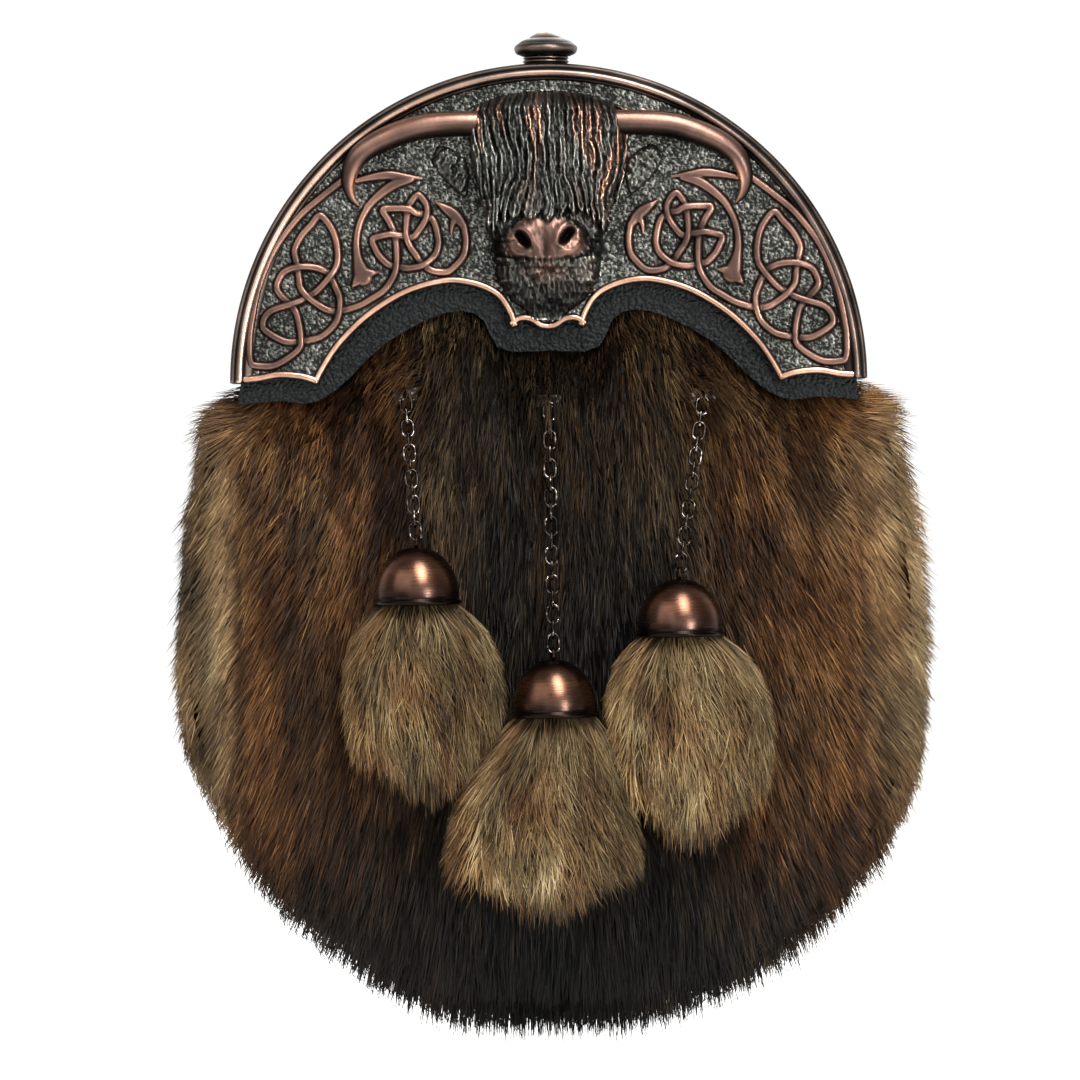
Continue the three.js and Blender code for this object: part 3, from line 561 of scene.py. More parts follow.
def make_rim(material):
    """The cantle's frame: side wall, dark outer bevel, rounded bead and inner slope."""
    angle = np.linspace(RIM_FOOT, math.pi - RIM_FOOT, RIM_STEPS)
    out = np.stack([np.cos(angle), np.zeros(RIM_STEPS), np.sin(angle)], -1)
    path = out * CANTLE_R + [0, FIELD_Y, 0]
    section = np.repeat(RIM_SECTION[None, :, :2], RIM_STEPS, 0)
    slope = section[:, SLOPE_ROWS, 0]
    slope -= (slope - slope[:, :1]) * 0.65 * smoothstep(5, 55, path[:, 2:])
    # Painted light: the frame is made lighter on the left and darker on the right, as light falls on it, on
    # top of the wear from the section.
    wear = RIM_SECTION[:, 2] * (1.1 - 0.35 * smoothstep(-45, 60, path[:, 0]))[:, None]
    wear = wear + 0.08 * wander(angle * 12, angle * 0, 5)[:, None]
    cast_strip("cantle_rim", path, out, section, np.clip(wear, 0.05, 1), 0.4, material)


def mitred_normals(line):
    """Outward normals of a line, stretched at its corners so that a band keeps its width."""
    steps = unit(np.diff(line, axis=0))
    before = np.vstack([steps[:1], steps])
    after = np.vstack([steps, steps[-1:]])
    n_before = np.stack([-before[:, 1], before[:, 0]], -1)
    n_after = np.stack([-after[:, 1], after[:, 0]], -1)
    middle = unit(n_before + n_after)
    stretch = 1 / np.maximum((middle * n_after).sum(1, keepdims=True), 0.45)
    return middle * stretch


# Section of the bead on the lower edge: columns in from the edge, forward, how rubbed.
BEAD_SECTION = np.array([
    (0, -2.2, 0.1), (0, 0.2, 0.5), (0.15, 0.6, 0.7), (0.5, 1.0, 0.85), (0.95, 1.15, 0.9), (1.4, 1.05, 0.85),
    (1.75, 0.7, 0.62), (1.95, 0.2, 0.25), (2.0, -0.6, 0.05), (1.8, -2.2, 0.05)])


def make_lower_bead(material):
    """The bright bead along the cantle's lower edge, on the edge of the plate."""
    line = lower_edge()
    inward = np.insert(-mitred_normals(line), 1, 0, axis=1)
    path = np.insert(line, 1, FIELD_Y, axis=1)
    wear = np.tile(BEAD_SECTION[:, 2], len(line))
    cast_strip("cantle_lower_bead", path, inward, BEAD_SECTION[:, :2], wear, 0.2, material)


def make_horns(material):
    """Two long horns, round in front and sunk a third into the ground, worn bright, with painted highlights
    on top and on the inner bend and painted shade underneath.
    """
    line = smooth_line(HORN_LINE, 0.6)
    along = unit(np.gradient(line[:, :2], axis=0))
    turn = round_turns(HORN_SIDES)
    half = np.maximum(line[:, 2], 0.2)
    growth_rings = 1 + 0.018 * np.sin(line[:, :1] * 5.2) * smoothstep(34, 20, line[:, :1])
    section = np.stack([np.cos(turn), np.sin(turn)], -1)[None] * (half[:, None] * growth_rings)[..., None]
    for side, name in ((1, "horn_right"), (-1, "horn_left")):
        path = np.stack([side * line[:, 0], FIELD_Y - half * 0.75, line[:, 1]], -1)
        out = np.stack([-side * along[:, 1], np.zeros(len(line)), along[:, 0]], -1)
        # Painted light on the horns: lighter towards the front, a painted highlight on top and along the
        # inner bend, and painted shade on the underside.
        up = out[:, 2:] * np.cos(turn)
        inner = np.clip(1 - out[:, 2:], 0, 1) * -np.cos(turn)
        facing = 0.46 + 0.2 * np.sin(turn) + 0.34 * up + 0.6 * inner
        facing = (facing * (0.25 + 0.75 * smoothstep(-0.85, -0.2, up))).ravel()
        streak = 0.12 * wander(np.repeat(line[:, 0] / 6, HORN_SIDES), np.tile(turn * 3, len(line)), 4)
        cast_strip(name, path, out, section, np.clip(facing + streak, 0.1, 0.95), 0, material)


# Bull's head, from the chin to the crown: columns z, half width, depth.
HEAD_ROWS = np.array([
    (17.4, 5, 1.8), (20.5, 9.6, 4.4), (25, 12.6, 6.6), (30, 13.8, 8.2), (36, 14.4, 8.8), (42, 15.6, 9.2),
    (48, 17, 10), (55, 18.8, 9.8), (63, 20, 8.2), (69, 18, 5.6), (71.5, 13, 3.6), (73.2, 7, 2.2)])
HEAD_STEP = 0.235
NOSE_X = -0.7                           # the nose stands a little to the left of the middle
EARS = ((-1, -23.4, 53), (1, 23.8, 53.2))                       # side, and middle in x, z
NOSTRILS = ((-6.1, 35.4, -0.62), (4.8, 36.2, 0.62))             # middle in x, z, and lean
NOSE_WINGS = ((-6.6, 34.9), (5.3, 35.6))                        # middle in x, z


def nose_and_mouth(x, z):
    """Smooth flared nose, deep nostrils and mouth: where the nose is, height, copper and hollow."""
    half = np.interp(z, [30.4, 31.4, 33, 35.5, 37.8, 39.6, 41.4], [6, 9, 10.2, 9.7, 8.4, 6.6, 4.4])
    away = np.abs(x - NOSE_X) / half
    nose = smoothstep(1.08, 0.86, away) * smoothstep(30.2, 31.4, z) * smoothstep(41.6, 39.6, z)
    muzzle = hill(x, z, (NOSE_X, 34.6), (10.5, 6.6), power=4)
    nostrils = sum(hill(x - lean * (z - middle_z), z, (middle_x, middle_z), (1.25, 2.0))
                   for middle_x, middle_z, lean in NOSTRILS)
    wings = sum(np.exp(-(np.hypot((x - middle_x) / 2.7, (z - middle_z) / 3.1) - 1)**2 / 0.12)
                for middle_x, middle_z in NOSE_WINGS)
    dip = hill(x, z, (-0.8, 33), (1.1, 3.5))
    lip_z = 30.1 + 0.014 * (x - NOSE_X)**2
    mouth = np.exp(-((z - lip_z) / 0.5)**2) * smoothstep(10.5, 8, np.abs(x))
    groove = np.exp(-(away - 1.18)**2 / 0.012) * smoothstep(28, 31, z) * smoothstep(44, 40, z)
    height = 2.6 * muzzle + 0.7 * wings - 2.8 * nostrils - 0.4 * mouth - 0.7 * groove - 0.5 * dip
    hollow = 1.2 * nostrils + 0.8 * groove * smoothstep(40, 34, z) + 0.3 * mouth + 0.35 * dip + 0.22 * nose
    return nose, height, nose * (1 - 0.5 * nostrils), hollow


def forelock(x, z, below_crown):
    """Locks that fall from the crown, curl in and splay over the nose: cover, height, copper, parting."""
    fall = np.interp(z, [38, 44, 48, 52, 57, 63, 68, 74], [16.6, 17.2, 17.8, 18.4, 19.4, 20.4, 20.4, 17])
    fan = 1 + 0.075 * np.clip(51 - z, 0, 10) * smoothstep(15, 7, np.abs(x))
    sway = 0.3 + 0.5 * np.sin((z - 44) / 6.5) * smoothstep(42, 56, z)
    lock = (x - sway) / (fall * fan) + 0.03 * wander(x / 6, z / 9, 15) + 0.022 * wander(x / 2.4, z / 4, 22)
    clump = lock * 8.5 + 0.6 * wander(lock * 2.3, z / 14, 23)
    off_ridge = np.abs((clump % 1) * 2 - 1)
    ridge = 1 - off_ridge**2
    strands = np.abs(np.sin(lock * 52 + 2.4 * wander(x / 3, z / 9, 16)))
    strands *= 0.75 + 0.35 * wander(x / 1.6, z / 3, 27)
    tips = 41.4 + 2.2 * off_ridge**1.5 + 2.2 * wander(np.floor(clump) * 7.3, x * 0 + 2, 24)
    tips -= 3 * smoothstep(0.55, 0.8, np.abs(lock))
    cover = smoothstep(1.02, 0.98, np.abs(lock)) * smoothstep(-1.2, 0.4, z - tips)
    cover *= smoothstep(0, 0.8, below_crown)
    copper = 0.6 * smoothstep(0.1, 0.6, wander(lock * 9, z / 16, 25)) * smoothstep(40, 60, z)
    bright_x = np.interp(z, [45, 52, 60, 68], [13.4, 15.2, 18.2, 18.6])
    bright = np.exp(-((x - bright_x) / 1.1)**2) * smoothstep(44, 47, z) * smoothstep(66, 58, z)
    return (cover, 0.9 + 0.9 * ridge + 0.85 * strands, copper * (0.5 + 0.5 * ridge) + 1.5 * bright,
            0.4 * (1 - ridge)**2)


def head_relief(x, z):
    """Height of the bull's head, where it has a surface, how coppery it is, and how hollow, with painted
    shade round the face.
    """
    width, depth = (np.interp(z, HEAD_ROWS[:, 0], HEAD_ROWS[:, column]) for column in (1, 2))
    ragged = 0.6 * wander(z / 1.6, x * 0, 11) + 0.4 * wander(z / 0.7, x * 0, 12)
    across = np.abs(x) / (width + ragged * smoothstep(50, 44, z))
    nose, nose_height, nose_copper, nose_hollow = nose_and_mouth(x, z)
    fuzz = wander(x / 0.55 + 0.25 * z, z / 1.5, 13) + 0.7 * wander(x / 0.34, z / 0.7, 14)
    tufts = wander(x / 2.1 + 0.12 * z, z / 4.5, 21)
    coat = (0.42 * fuzz + 0.55 * tufts) * (1 - 0.92 * nose)
    height = depth * np.clip(1 - across**2.4, 0, 1)**0.55 + nose_height + coat

    below_crown = 73.1 - 4.3 * (x / 20.5)**2 - z
    cover, lock_height, lock_copper, parting = forelock(x, z, below_crown)
    rounding = smoothstep(-0.5, 4.5, below_crown)**0.7
    height = np.where(cover > 0.02, height * (0.25 + 0.75 * rounding), height)
    height += cover * lock_height * (0.4 + 0.6 * rounding)
    is_lock = cover > 0.3
    whole = ((across < 0.985) | (is_lock & (z > 44))) & (below_crown > 0)
    beard = 0.55 * hill(x, z, (-0.5, 27.5), (7, 2.6)) * ~is_lock
    copper = np.clip(np.where(is_lock, lock_copper, nose_copper), 0, 1)
    # Painted shade: a dark line round the face, partly blackening in the crease and partly shade where the
    # head meets the ground.
    outline = 0.8 * smoothstep(0.8, 0.97, across) * ~is_lock
    return height, whole, np.clip(copper + beard, 0, 1), nose_hollow + outline + np.where(is_lock, parting, 0)


def make_head(material):
    """The bull's head: a smooth rubbed nose, a shaggy coat, a long forelock and two ears."""
    xs, zs = np.arange(-29, 29, HEAD_STEP), np.arange(15.5, 75, HEAD_STEP)
    x, z = np.meshgrid(xs, zs, indexing="ij")
    height, whole, coppery, hollow = head_relief(x, z)
    for side, middle_x, middle_z in EARS:
        across, up = (x - middle_x) * side, z - middle_z
        leaf = np.interp(up, [-7, -2, 3, 6], [1.4, 3.6, 4.8, 4])
        away = np.hypot((across - 0.42 * up) / leaf, up / 6.4)
        shag = wander(x / 0.9 + side * z / 2, z / 1.2, 17) + 0.5 * wander(x / 0.4, z / 0.5, 18)
        ear = 3.2 * np.clip(1 - away**2.6, 0, 1)**0.5 + 0.6 * shag * (away < 1)
        ear -= 0.6 * hill(across, up, (0, -0.4), (2.6, 3))
        is_ear = (away < 1 + 0.08 * shag) & ~whole
        hollow = np.where(is_ear, 0.6 * smoothstep(0.85, 1, away), hollow)
        height = np.where(is_ear, ear, height)
        whole |= is_ear
    height = np.where(whole, np.maximum(height, 0.15), -0.4)
    hollow = np.clip(hollow, 0, 1)
    ridge = height - blurred(height, 12)
    patch = 0.14 * wander(x / 5, z / 7, 19)
    # Painted light: the right cheek is made lighter, as if lit from the right.
    painted_light_right_cheek = 0.14 * smoothstep(2, 14, x) * smoothstep(46, 38, z)
    rubbed = np.clip(0.4 + 0.62 * ridge + patch + painted_light_right_cheek, 0.02, 0.95) * (1 - 0.9 * hollow)
    lift = coppery * (0.12 + 0.25 * smoothstep(-0.3, 0.3, ridge) + 0.1 * wander(x / 2.5, z / 3, 26))
    rubbed = np.clip(rubbed + lift * (1 - hollow), 0.02, 0.95)
    ground = np.clip(0.95 - 1.5 * coppery + 0.3 * wander(x / 4, z / 6, 20), 0, 1)
    reach = blurred(whole.astype(float), 3) > 0.05
    relief_piece("bull_head", xs, zs, height, reach, rubbed, ground, material)


# Collar under the button, a closed ring: columns radius, height, how rubbed.
COLLAR_LINE = np.array([
    (0.2, 78.4, 0.1), (7.4, 78.6, 0.3), (7.2, 79.7, 0.4), (6.3, 80.1, 0.35), (5.5, 80.25, 0.2),
    (5.4, 80.45, 0.15), (5.7, 80.6, 0.6), (5.8, 80.85, 0.75), (5.7, 81.1, 0.6), (5.3, 81.2, 0.1),
    (5.3, 81.4, 0.1), (5.65, 81.5, 0.6), (5.75, 81.7, 0.75), (5.65, 81.95, 0.6), (5.2, 82.05, 0.3),
    (2.2, 82.05, 0.1), (2.2, 78.4, 0.1)])


def make_collar(material):
    """Turned collar rings on top of the rim, under the button."""
    points, faces = turned(COLLAR_LINE, 0, node_axis("button")[1], is_ring=True)
    piece = make_piece("button_collar", points, faces, material, "dark_copper",
                       rubbed=np.repeat(COLLAR_LINE[:, 2], SEGMENTS), ground=np.full(len(points), 0.5))
    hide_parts("cantle")


# ------------------------------------------------------------------ button, caps and chains

# Button from its brim to its tip: columns radius, height above the arch centre.
BUTTON_LINE = (
    (6.08, 84.6), (6.08, 82.6), (6.3, 82.35), (6.6, 82.5), (7.3, 82.75), (7.75, 83.3), (7.98, 83.95),
    (8, 84.25), (7.9, 84.55), (7.5, 85), (7.25, 85.2), (7.1, 85.25), (6.9, 85.45), (6.2, 86.0), (5.4, 86.35),
    (4.6, 86.6), (4.25, 86.7), (4.05, 86.95), (3.6, 87.3), (2.9, 87.75), (2.3, 88.05), (1.3, 88.55),
    (0.5, 88.75), (0.02, 88.8),
)
STEM_LINE = ((0.02, 76.7), (2.7, 76.7), (2.7, 77.7), (1.8, 77.75), (1.8, 84.8), (6, 84.8))

# How rubbed the button is by its height: columns height, how rubbed.
BUTTON_WEAR = (
    (82.3, 0.25), (83.6, 0.45), (84.2, 0.8), (84.7, 0.4), (85.3, 0.3), (86.6, 0.5), (87.2, 0.75),
    (88.8, 0.95),
)

# Tassel cap from its inside round the rolled rim to the crown: radius, height above the rim.
CAP_LINE = (
    (9.3, 8), (9.8, 3.5), (9.85, 0.9), (10.1, 0.25), (10.55, 0.05), (10.9, 0.3), (11, 0.75),
    (10.85, 1.2), (10.5, 1.5), (10.42, 1.7), (10.46, 2.4), (10.4, 4), (10.1, 5.8), (9.6, 7.4),
    (8.85, 9), (7.8, 10.6), (6.6, 11.9), (5.2, 13), (3.8, 13.75), (2.4, 14.15), (1.2, 14.3), (0.02, 14.32),
)
CAP_INSIDE_ROWS = 4
CAP_EYE_Z = 15.6
CAP_EYE_R = 1.5
CAP_EYE_WIRE_R = 0.45
CHAIN_WIRE_R = 0.36


def make_button(material):
    """The turned button on top, its brim and domed tip polished bright."""
    axis_y = node_axis("button")[1]
    points, faces = joined([turned(BUTTON_LINE, 0, axis_y), turned(STEM_LINE, 0, axis_y)])
    rubbed = np.interp([height for _, height in BUTTON_LINE], *np.transpose(BUTTON_WEAR))
    wear = np.repeat(np.concatenate([rubbed, np.full(len(STEM_LINE), 0.3)]), SEGMENTS)
    piece = make_piece("button_turned", points, faces, material, "dark_copper",
                       body="button", rubbed=wear, ground=np.full(len(wear), 0.45))
    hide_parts("button")


def wire_loop(centre, length_axis, width_axis, half_length, half_width, wire):
    """A closed loop of wire, straight-sided when it is longer than it is wide."""
    steps, sides = 28, 10
    turn = round_turns(steps)
    straight = half_length - half_width
    along = half_width * np.cos(turn) + straight * np.sign(np.cos(turn)) * (np.abs(np.cos(turn)) > 1e-6)
    across = half_width * np.sin(turn)
    path = centre + along[:, None] * length_axis + across[:, None] * width_axis
    tangent = unit(np.roll(path, -1, 0) - np.roll(path, 1, 0))
    up = np.cross(length_axis, width_axis)
    out = np.cross(tangent, up)
    roll = round_turns(sides)
    section = wire * np.stack([np.cos(roll), np.sin(roll)], -1)
    return swept(path, out, up, section).reshape(-1, 3), grid_faces(steps, sides, True, True)


def make_cap(side, material):
    """A spun dome with a rolled rim and a wire eye, holding one tassel."""
    node = "cap_" + side
    x, y, z = node_axis(node)
    line = np.array(CAP_LINE)
    eye = wire_loop(np.array([x, y, z + CAP_EYE_Z]), UP, REAR, CAP_EYE_R, CAP_EYE_R, CAP_EYE_WIRE_R)
    points, faces = joined([turned(line, x, y, z), eye])
    turn = np.tile(round_turns(SEGMENTS), len(line))
    rise = np.repeat(line[:, 1], SEGMENTS)
    is_inside = np.repeat(np.arange(len(line)) < CAP_INSIDE_ROWS, SEGMENTS)
    height = np.concatenate([np.where(is_inside, 0, rise / line[-1, 1]), np.full(len(eye[0]), 0.97)])
    rings = np.stack([0.7 * np.cos(turn), 0.7 * np.sin(turn), rise * 4.5], -1)
    piece = make_piece(node + "_spun", points, faces, material, "cap_copper", height=height,
                       around=np.vstack([rings, eye[0] - eye[0][0]]))
    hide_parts(node)


def make_chain(side, material):
    """A cable chain: each link lies where its CAD link lies, drawn as a round-ended wire loop."""
    nodes = sorted(name for name in frame["nodes"] if name.startswith(f"link_{side}_"))
    parts = []
    for node in nodes:
        corners = node_points(node)
        centre = (corners.min(0) + corners.max(0)) / 2
        _, axes = np.linalg.eigh(np.cov((corners - centre).T))
        reach = np.abs((corners - centre) @ axes).max(0)
        half_width, half_length = reach[1:] - CHAIN_WIRE_R
        parts.append(wire_loop(centre, axes[:, 2], axes[:, 1], half_length, half_width, CHAIN_WIRE_R))
    points, faces = joined(parts)
    piece = make_piece(f"chain_{side}", points, faces, material, "chain_metal")
    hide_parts(*nodes)


# ------------------------------------------------------------------ leather

STITCH_LENGTH, STITCH_GAP = 2.3, 0.9
THREAD_R = 0.36
SEAM_INSET = 4                          # seam inside the back panel's edge
FOOT_INSET, FOOT_SEAM = 2, 7            # a strap loop's foot is sewn round a box so far inside it
FOOT_THICK = 2.3                        # how far the feet stand off the back panel


def leather_copy(node, name, material, edge_round):
    """A copy of a CAD node with its cut edges rounded over, as burnished leather is."""
    mesh = frame["nodes"][node].data.copy()
    mesh.name = name
    solid = bmesh.new()
    solid.from_mesh(mesh)
    bmesh.ops.remove_doubles(solid, verts=solid.verts, dist=0.00002)
    sharp = [edge for edge in solid.edges if len(edge.link_faces) == 2
             and edge.calc_face_angle(0) > math.radians(50)]
    bmesh.ops.bevel(solid, geom=sharp, offset=edge_round * MM, segments=3, profile=0.6, affect="EDGES",
                    clamp_overlap=True)
    bmesh.ops.triangulate(solid, faces=solid.faces)
    solid.to_mesh(mesh)
    solid.free()
    mesh.materials.clear()
    mesh.materials.append(material)
    mesh.polygons.foreach_set("use_smooth", np.ones(len(mesh.polygons), bool))
    mesh.set_sharp_from_angle(angle=math.radians(35))
    piece = bpy.data.objects.new(name, mesh)
    bpy.context.scene.collection.objects.link(piece)
    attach(piece, "pouch")
    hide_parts(node)


def stitches(line):
    """Saddle stitches along a line on the rear: short rounded dashes that dip into the leather."""
    rows, sides = 7, 8
    steps = np.linalg.norm(np.diff(line, axis=0), axis=1)
    reach = np.concatenate([[0], np.cumsum(steps)])
    count = int(reach[-1] / (STITCH_LENGTH + STITCH_GAP))
    swell = np.sin(np.linspace(0.12, math.pi - 0.12, rows))
    rise = np.outer((0.6 * swell - 0.35) * THREAD_R, REAR)
    size = (THREAD_R * swell**0.4)[:, None, None]
    turn = round_turns(sides)[None, :, None]
    parts = []
    for index in range(count):
        start = (index + 0.5) * reach[-1] / count - STITCH_LENGTH / 2
        at = start + np.linspace(0, STITCH_LENGTH, rows)
        path = np.stack([np.interp(at, reach, line[:, axis]) for axis in range(3)], -1)
        across = np.cross(unit(path[-1] - path[0]), REAR)
        points = (path + rise)[:, None] + size * np.cos(turn) * across + size * np.sin(turn) * REAR
        parts.append((points.reshape(-1, 3), grid_faces(rows, sides, is_closed_across=True)))
    return parts


def seam_line(rear):
    """The back panel's seam, a margin inside its outline, from the top all the way round."""
    middle_z, least_radius = -30.0, 60
    corners = node_points("back_panel")
    angle = np.arctan2(corners[:, 0], middle_z - corners[:, 2])
    radius = np.hypot(corners[:, 0], corners[:, 2] - middle_z)
    is_outline = radius > least_radius
    order = np.argsort(angle[is_outline])
    turn = np.linspace(-math.pi, math.pi, 260)
    reach = np.interp(turn, angle[is_outline][order], radius[is_outline][order], period=2 * math.pi)
    outline = np.stack([reach * np.sin(turn), middle_z - reach * np.cos(turn)], -1)
    along = unit(np.gradient(outline, axis=0))
    inward = np.stack([-along[:, 1], along[:, 0]], -1)
    return np.insert(outline + SEAM_INSET * inward, 1, rear, axis=1)


def make_leather():
    """Facing, gusset, back panel and strap loops, and the seams that hold them."""
    facing = black_leather("facing_leather", 0.8, 0.14)
    bag = black_leather("bag_leather", 0.75, 0.2)
    leather_copy("cantle_facing", "facing_leather_cut", facing, 0.45)
    leather_copy("gusset", "gusset_leather", bag, 0.4)
    leather_copy("back_panel", "back_panel_leather", bag, 0.8)
    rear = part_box("back_panel")[1].y / MM
    seam = stitches(seam_line(rear))
    for side in ("left", "right"):
        node = "strap_loop_" + side
        leather_copy(node, node + "_leather", bag, 0.5)
        low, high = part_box(node)
        left, right = low.x / MM + FOOT_INSET, high.x / MM - FOOT_INSET
        lowest = (low.z - ARCH_Z) / MM + FOOT_INSET
        highest = (high.z - ARCH_Z) / MM - FOOT_INSET
        for bottom, top in ((lowest, lowest + FOOT_SEAM), (highest - FOOT_SEAM, highest)):
            box = np.array([(x, rear + FOOT_THICK, z) for x, z in (
                (left, bottom), (right, bottom), (right, top), (left, top), (left, bottom))])
            for side_of_box in zip(box, box[1:]):
                seam += stitches(np.array(side_of_box))
    make_piece("seams", *joined(seam), waxed_thread(), "leather")


# ------------------------------------------------------------------ fur

FUR_MIDDLE_Z = -60                      # middle of the pelt's dome
FUR_EDGE_Y = -15                        # front of the pelt at its outline
DOME_DEPTH = 25                         # how far the dome stands in front of its outline
PRESSED_Y = -24                         # fur pressed flat behind the leather facing
SPRING = 20                             # how far it springs out below the facing,
SPRING_RUN = 30                         # and over what length
FACING_HALF = 77.4                      # half width of the facing that presses it
HAIR_DEPTH = 4                          # hide under the tips of the hair
HIDE_SCALE = 0.955                      # hide's outline inside the hair's
REAR_Y = -10.2                          # hide's rear face, past the edge of the leather
LOCK_WIDTH = 1.9                        # hairs gather in locks about this wide
WALL_FRONT_Y = -19                      # front of the hairs on the pelt's outer wall
DOME_HAIRS, EDGE_HAIRS, WALL_HAIRS = 57000, 27000, 20000
HAIR_WIDTH = 0.3                        # real guard hair is finer, too fine to show
HAIR_ROWS = 3                           # points along one hair
NUDGE = 0.8                             # step over which slopes are measured


def fur_edges():
    """Outline radius of the pelt by angle round its middle, and the facing's lower edge by x."""
    pelt = node_points("fur_front")
    ring = pelt[np.abs(pelt[:, 1] - FUR_EDGE_Y) < 0.05]
    away = ring[:, [0, 2]] - [0, FUR_MIDDLE_Z]
    turn, reach = np.arctan2(away[:, 0], away[:, 1]), np.hypot(*away.T)
    round_order = np.argsort(turn)
    facing = node_points("cantle_facing")
    lower = facing[(facing[:, 2] < 0) | (np.hypot(facing[:, 0], facing[:, 2]) < FACING_HALF - 0.3)]
    order = np.argsort(np.abs(lower[:, 0]))
    return turn[round_order], reach[round_order], np.abs(lower[order, 0]), lower[order, 2]


TURNS, REACHES, FACING_X, FACING_Z = fur_edges()


def outline_reach(turn):
    """Outline radius of the pelt by angle."""
    return np.interp(turn, TURNS, REACHES, period=2 * math.pi)


def around(turn, radius):
    """x and z at an angle and a radius round the pelt's middle."""
    return radius * np.sin(turn), FUR_MIDDLE_Z + radius * np.cos(turn)


def fur_fraction(x, z):
    """0 at the middle of the pelt and 1 at its outline."""
    return np.hypot(x, z - FUR_MIDDLE_Z) / outline_reach(np.arctan2(x, z - FUR_MIDDLE_Z))


def facing_z(x):
    """Height of the facing's lower edge, and far below the pelt where there is no facing."""
    return np.where(np.abs(x) < FACING_HALF, np.interp(np.abs(x), FACING_X, FACING_Z), -300)


def fur_y(x, z):
    """Front of the combed fur at x, z."""
    share = np.clip(fur_fraction(x, z), 0, 0.9999)
    dome = FUR_EDGE_Y - DOME_DEPTH * (1 - share**2.8)**0.55
    below = np.where(np.abs(x) < FACING_HALF, np.clip((facing_z(x) - z) / SPRING_RUN, 0, 1), 1)
    pressed = PRESSED_Y - SPRING * (1 - (1 - below)**2)
    return np.maximum(dome, pressed)


def hide_reach(turn):
    """Outline radius of the hide by angle, trimmed low on the left as the hair is."""
    reach = outline_reach(turn) * HIDE_SCALE
    x, z = around(turn, reach)
    return reach * (1 - 0.04 * smoothstep(-25, -60, x) * smoothstep(-80, -115, z))


def hide_y(x, z):
    """Front of the hide under the hair at x, z."""
    return fur_y(x / HIDE_SCALE, (z - FUR_MIDDLE_Z) / HIDE_SCALE + FUR_MIDDLE_Z) + HAIR_DEPTH


def hide_normal(x, z):
    """The way the hide faces at x, z."""
    slope_x = (hide_y(x + NUDGE, z) - hide_y(x - NUDGE, z)) / (2 * NUDGE)
    slope_z = (hide_y(x, z + NUDGE) - hide_y(x, z - NUDGE)) / (2 * NUDGE)
    return unit(np.stack([slope_x, -np.ones_like(slope_x), slope_z], -1))


def lay_ribbons(name, points, facing, widths, tone, rust, material, slot, node):
    """Hairs as narrow ribbons: rows of points per hair, the way its flat side faces, and its tones.

    Each hair has its own cell in a map of the piece, so that each keeps its own colours.
    """
    count, rows, _ = points.shape
    along = unit(np.gradient(points, axis=1))
    rng = np.random.default_rng(SEED + count)
    lean = rng.uniform(-0.9, 0.9, (count, 1, 1))
    side = unit(np.cross(along, facing[:, None]))
    side = unit(side * np.cos(lean) + np.cross(along, side) * np.sin(lean))
    edge = side * widths[..., None] / 2
    corners = np.stack([points - edge, points + edge], 2).reshape(-1, 3)
    strip = grid_faces(rows, 2)
    faces = (strip[None] + (np.arange(count) * rows * 2)[:, None, None]).reshape(-1, 4)
    cells, margin = math.ceil(math.sqrt(count)), 0.15
    hair = np.arange(count)[:, None, None]
    u = hair % cells + margin + (1 - 2 * margin) * np.array([0, 1])[None, None, :]
    v = hair // cells + margin + (1 - 2 * margin) * np.linspace(0, 1, rows)[None, :, None]
    uv = np.stack(np.broadcast_arrays(u, v), -1).reshape(-1, 2) / cells
    piece = make_piece(name, corners, faces, material, slot, tone=np.repeat(tone.ravel(), 2),
                       rust=np.repeat(rust.ravel(), 2))
    layer = piece.data.uv_layers.new(name="OFBake")
    layer.data.foreach_set("uv", uv[faces.ravel()].astype(np.float32).ravel())
    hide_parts(node)


def taper(count, rows, width, rng):
    """Widths along each hair, which thins towards its tip."""
    share = np.linspace(0, 1, rows)
    return (width * rng.uniform(0.75, 1.25, (count, 1))) * (1 - 0.85 * share**2.2)


def body_tone(x, z):
    """How light the pelt is: darkest down the middle and the bottom, lightest at the sides."""
    side = np.abs(x)
    middle = np.exp(-((x - 3) / 36)**2) * smoothstep(34, 0, z) * (0.6 + 0.4 * smoothstep(0, -50, z))
    bottom = smoothstep(-90, -145, z) * (1 - 0.35 * smoothstep(50, 85, side))
    shade = 0.45 + 0.1 * smoothstep(70, 93, side) - 0.3 * middle - 0.24 * bottom
    shade += 0.07 * smoothstep(40, 85, x)
    streak = wander(x / 2.2, z / 11, 41) * 0.5 + wander(x / 0.9, z / 6, 42) * 0.5
    patch = wander(x / 13, z / 22, 43)
    return shade + 0.25 * streak + 0.11 * patch


def body_rust(x, z):
    """Where the pelt is reddish brown rather than olive: a broad stripe down each side."""
    side = np.abs(x)
    stripe = smoothstep(28, 48, side) * smoothstep(92, 72, side) * smoothstep(-150, -110, z)
    patch = 0.35 * wander(x / 12, z / 26, 49) + 0.2 * wander(x / 3, z / 16, 50)
    return np.clip(0.15 + 0.75 * stripe + patch, 0, 1)


def comb_direction(x, z):
    """The way the hair lies: down, fanning out slightly towards the sides."""
    side = smoothstep(30, 80, np.abs(x)) * np.sign(x)
    swing = 0.0012 * x + 0.14 * side * smoothstep(10, -50, z) * smoothstep(-160, -110, z)
    swing = swing + 0.1 * wander(x / 16, z / 24, 44) + 0.09 * wander(x / 4, z / 9, 45)
    return unit(np.stack([swing, np.zeros_like(swing), -np.ones_like(swing)], -1))


def pelt_point(x, z, height):
    """A point in the fur over x, z of its outer skin: height 0 on the hide and 1 at the skin."""
    scale = HIDE_SCALE + (1 - HIDE_SCALE) * height
    return np.stack([x * scale, fur_y(x, z) + HAIR_DEPTH * (1 - height),
                     FUR_MIDDLE_Z + (z - FUR_MIDDLE_Z) * scale], -1)


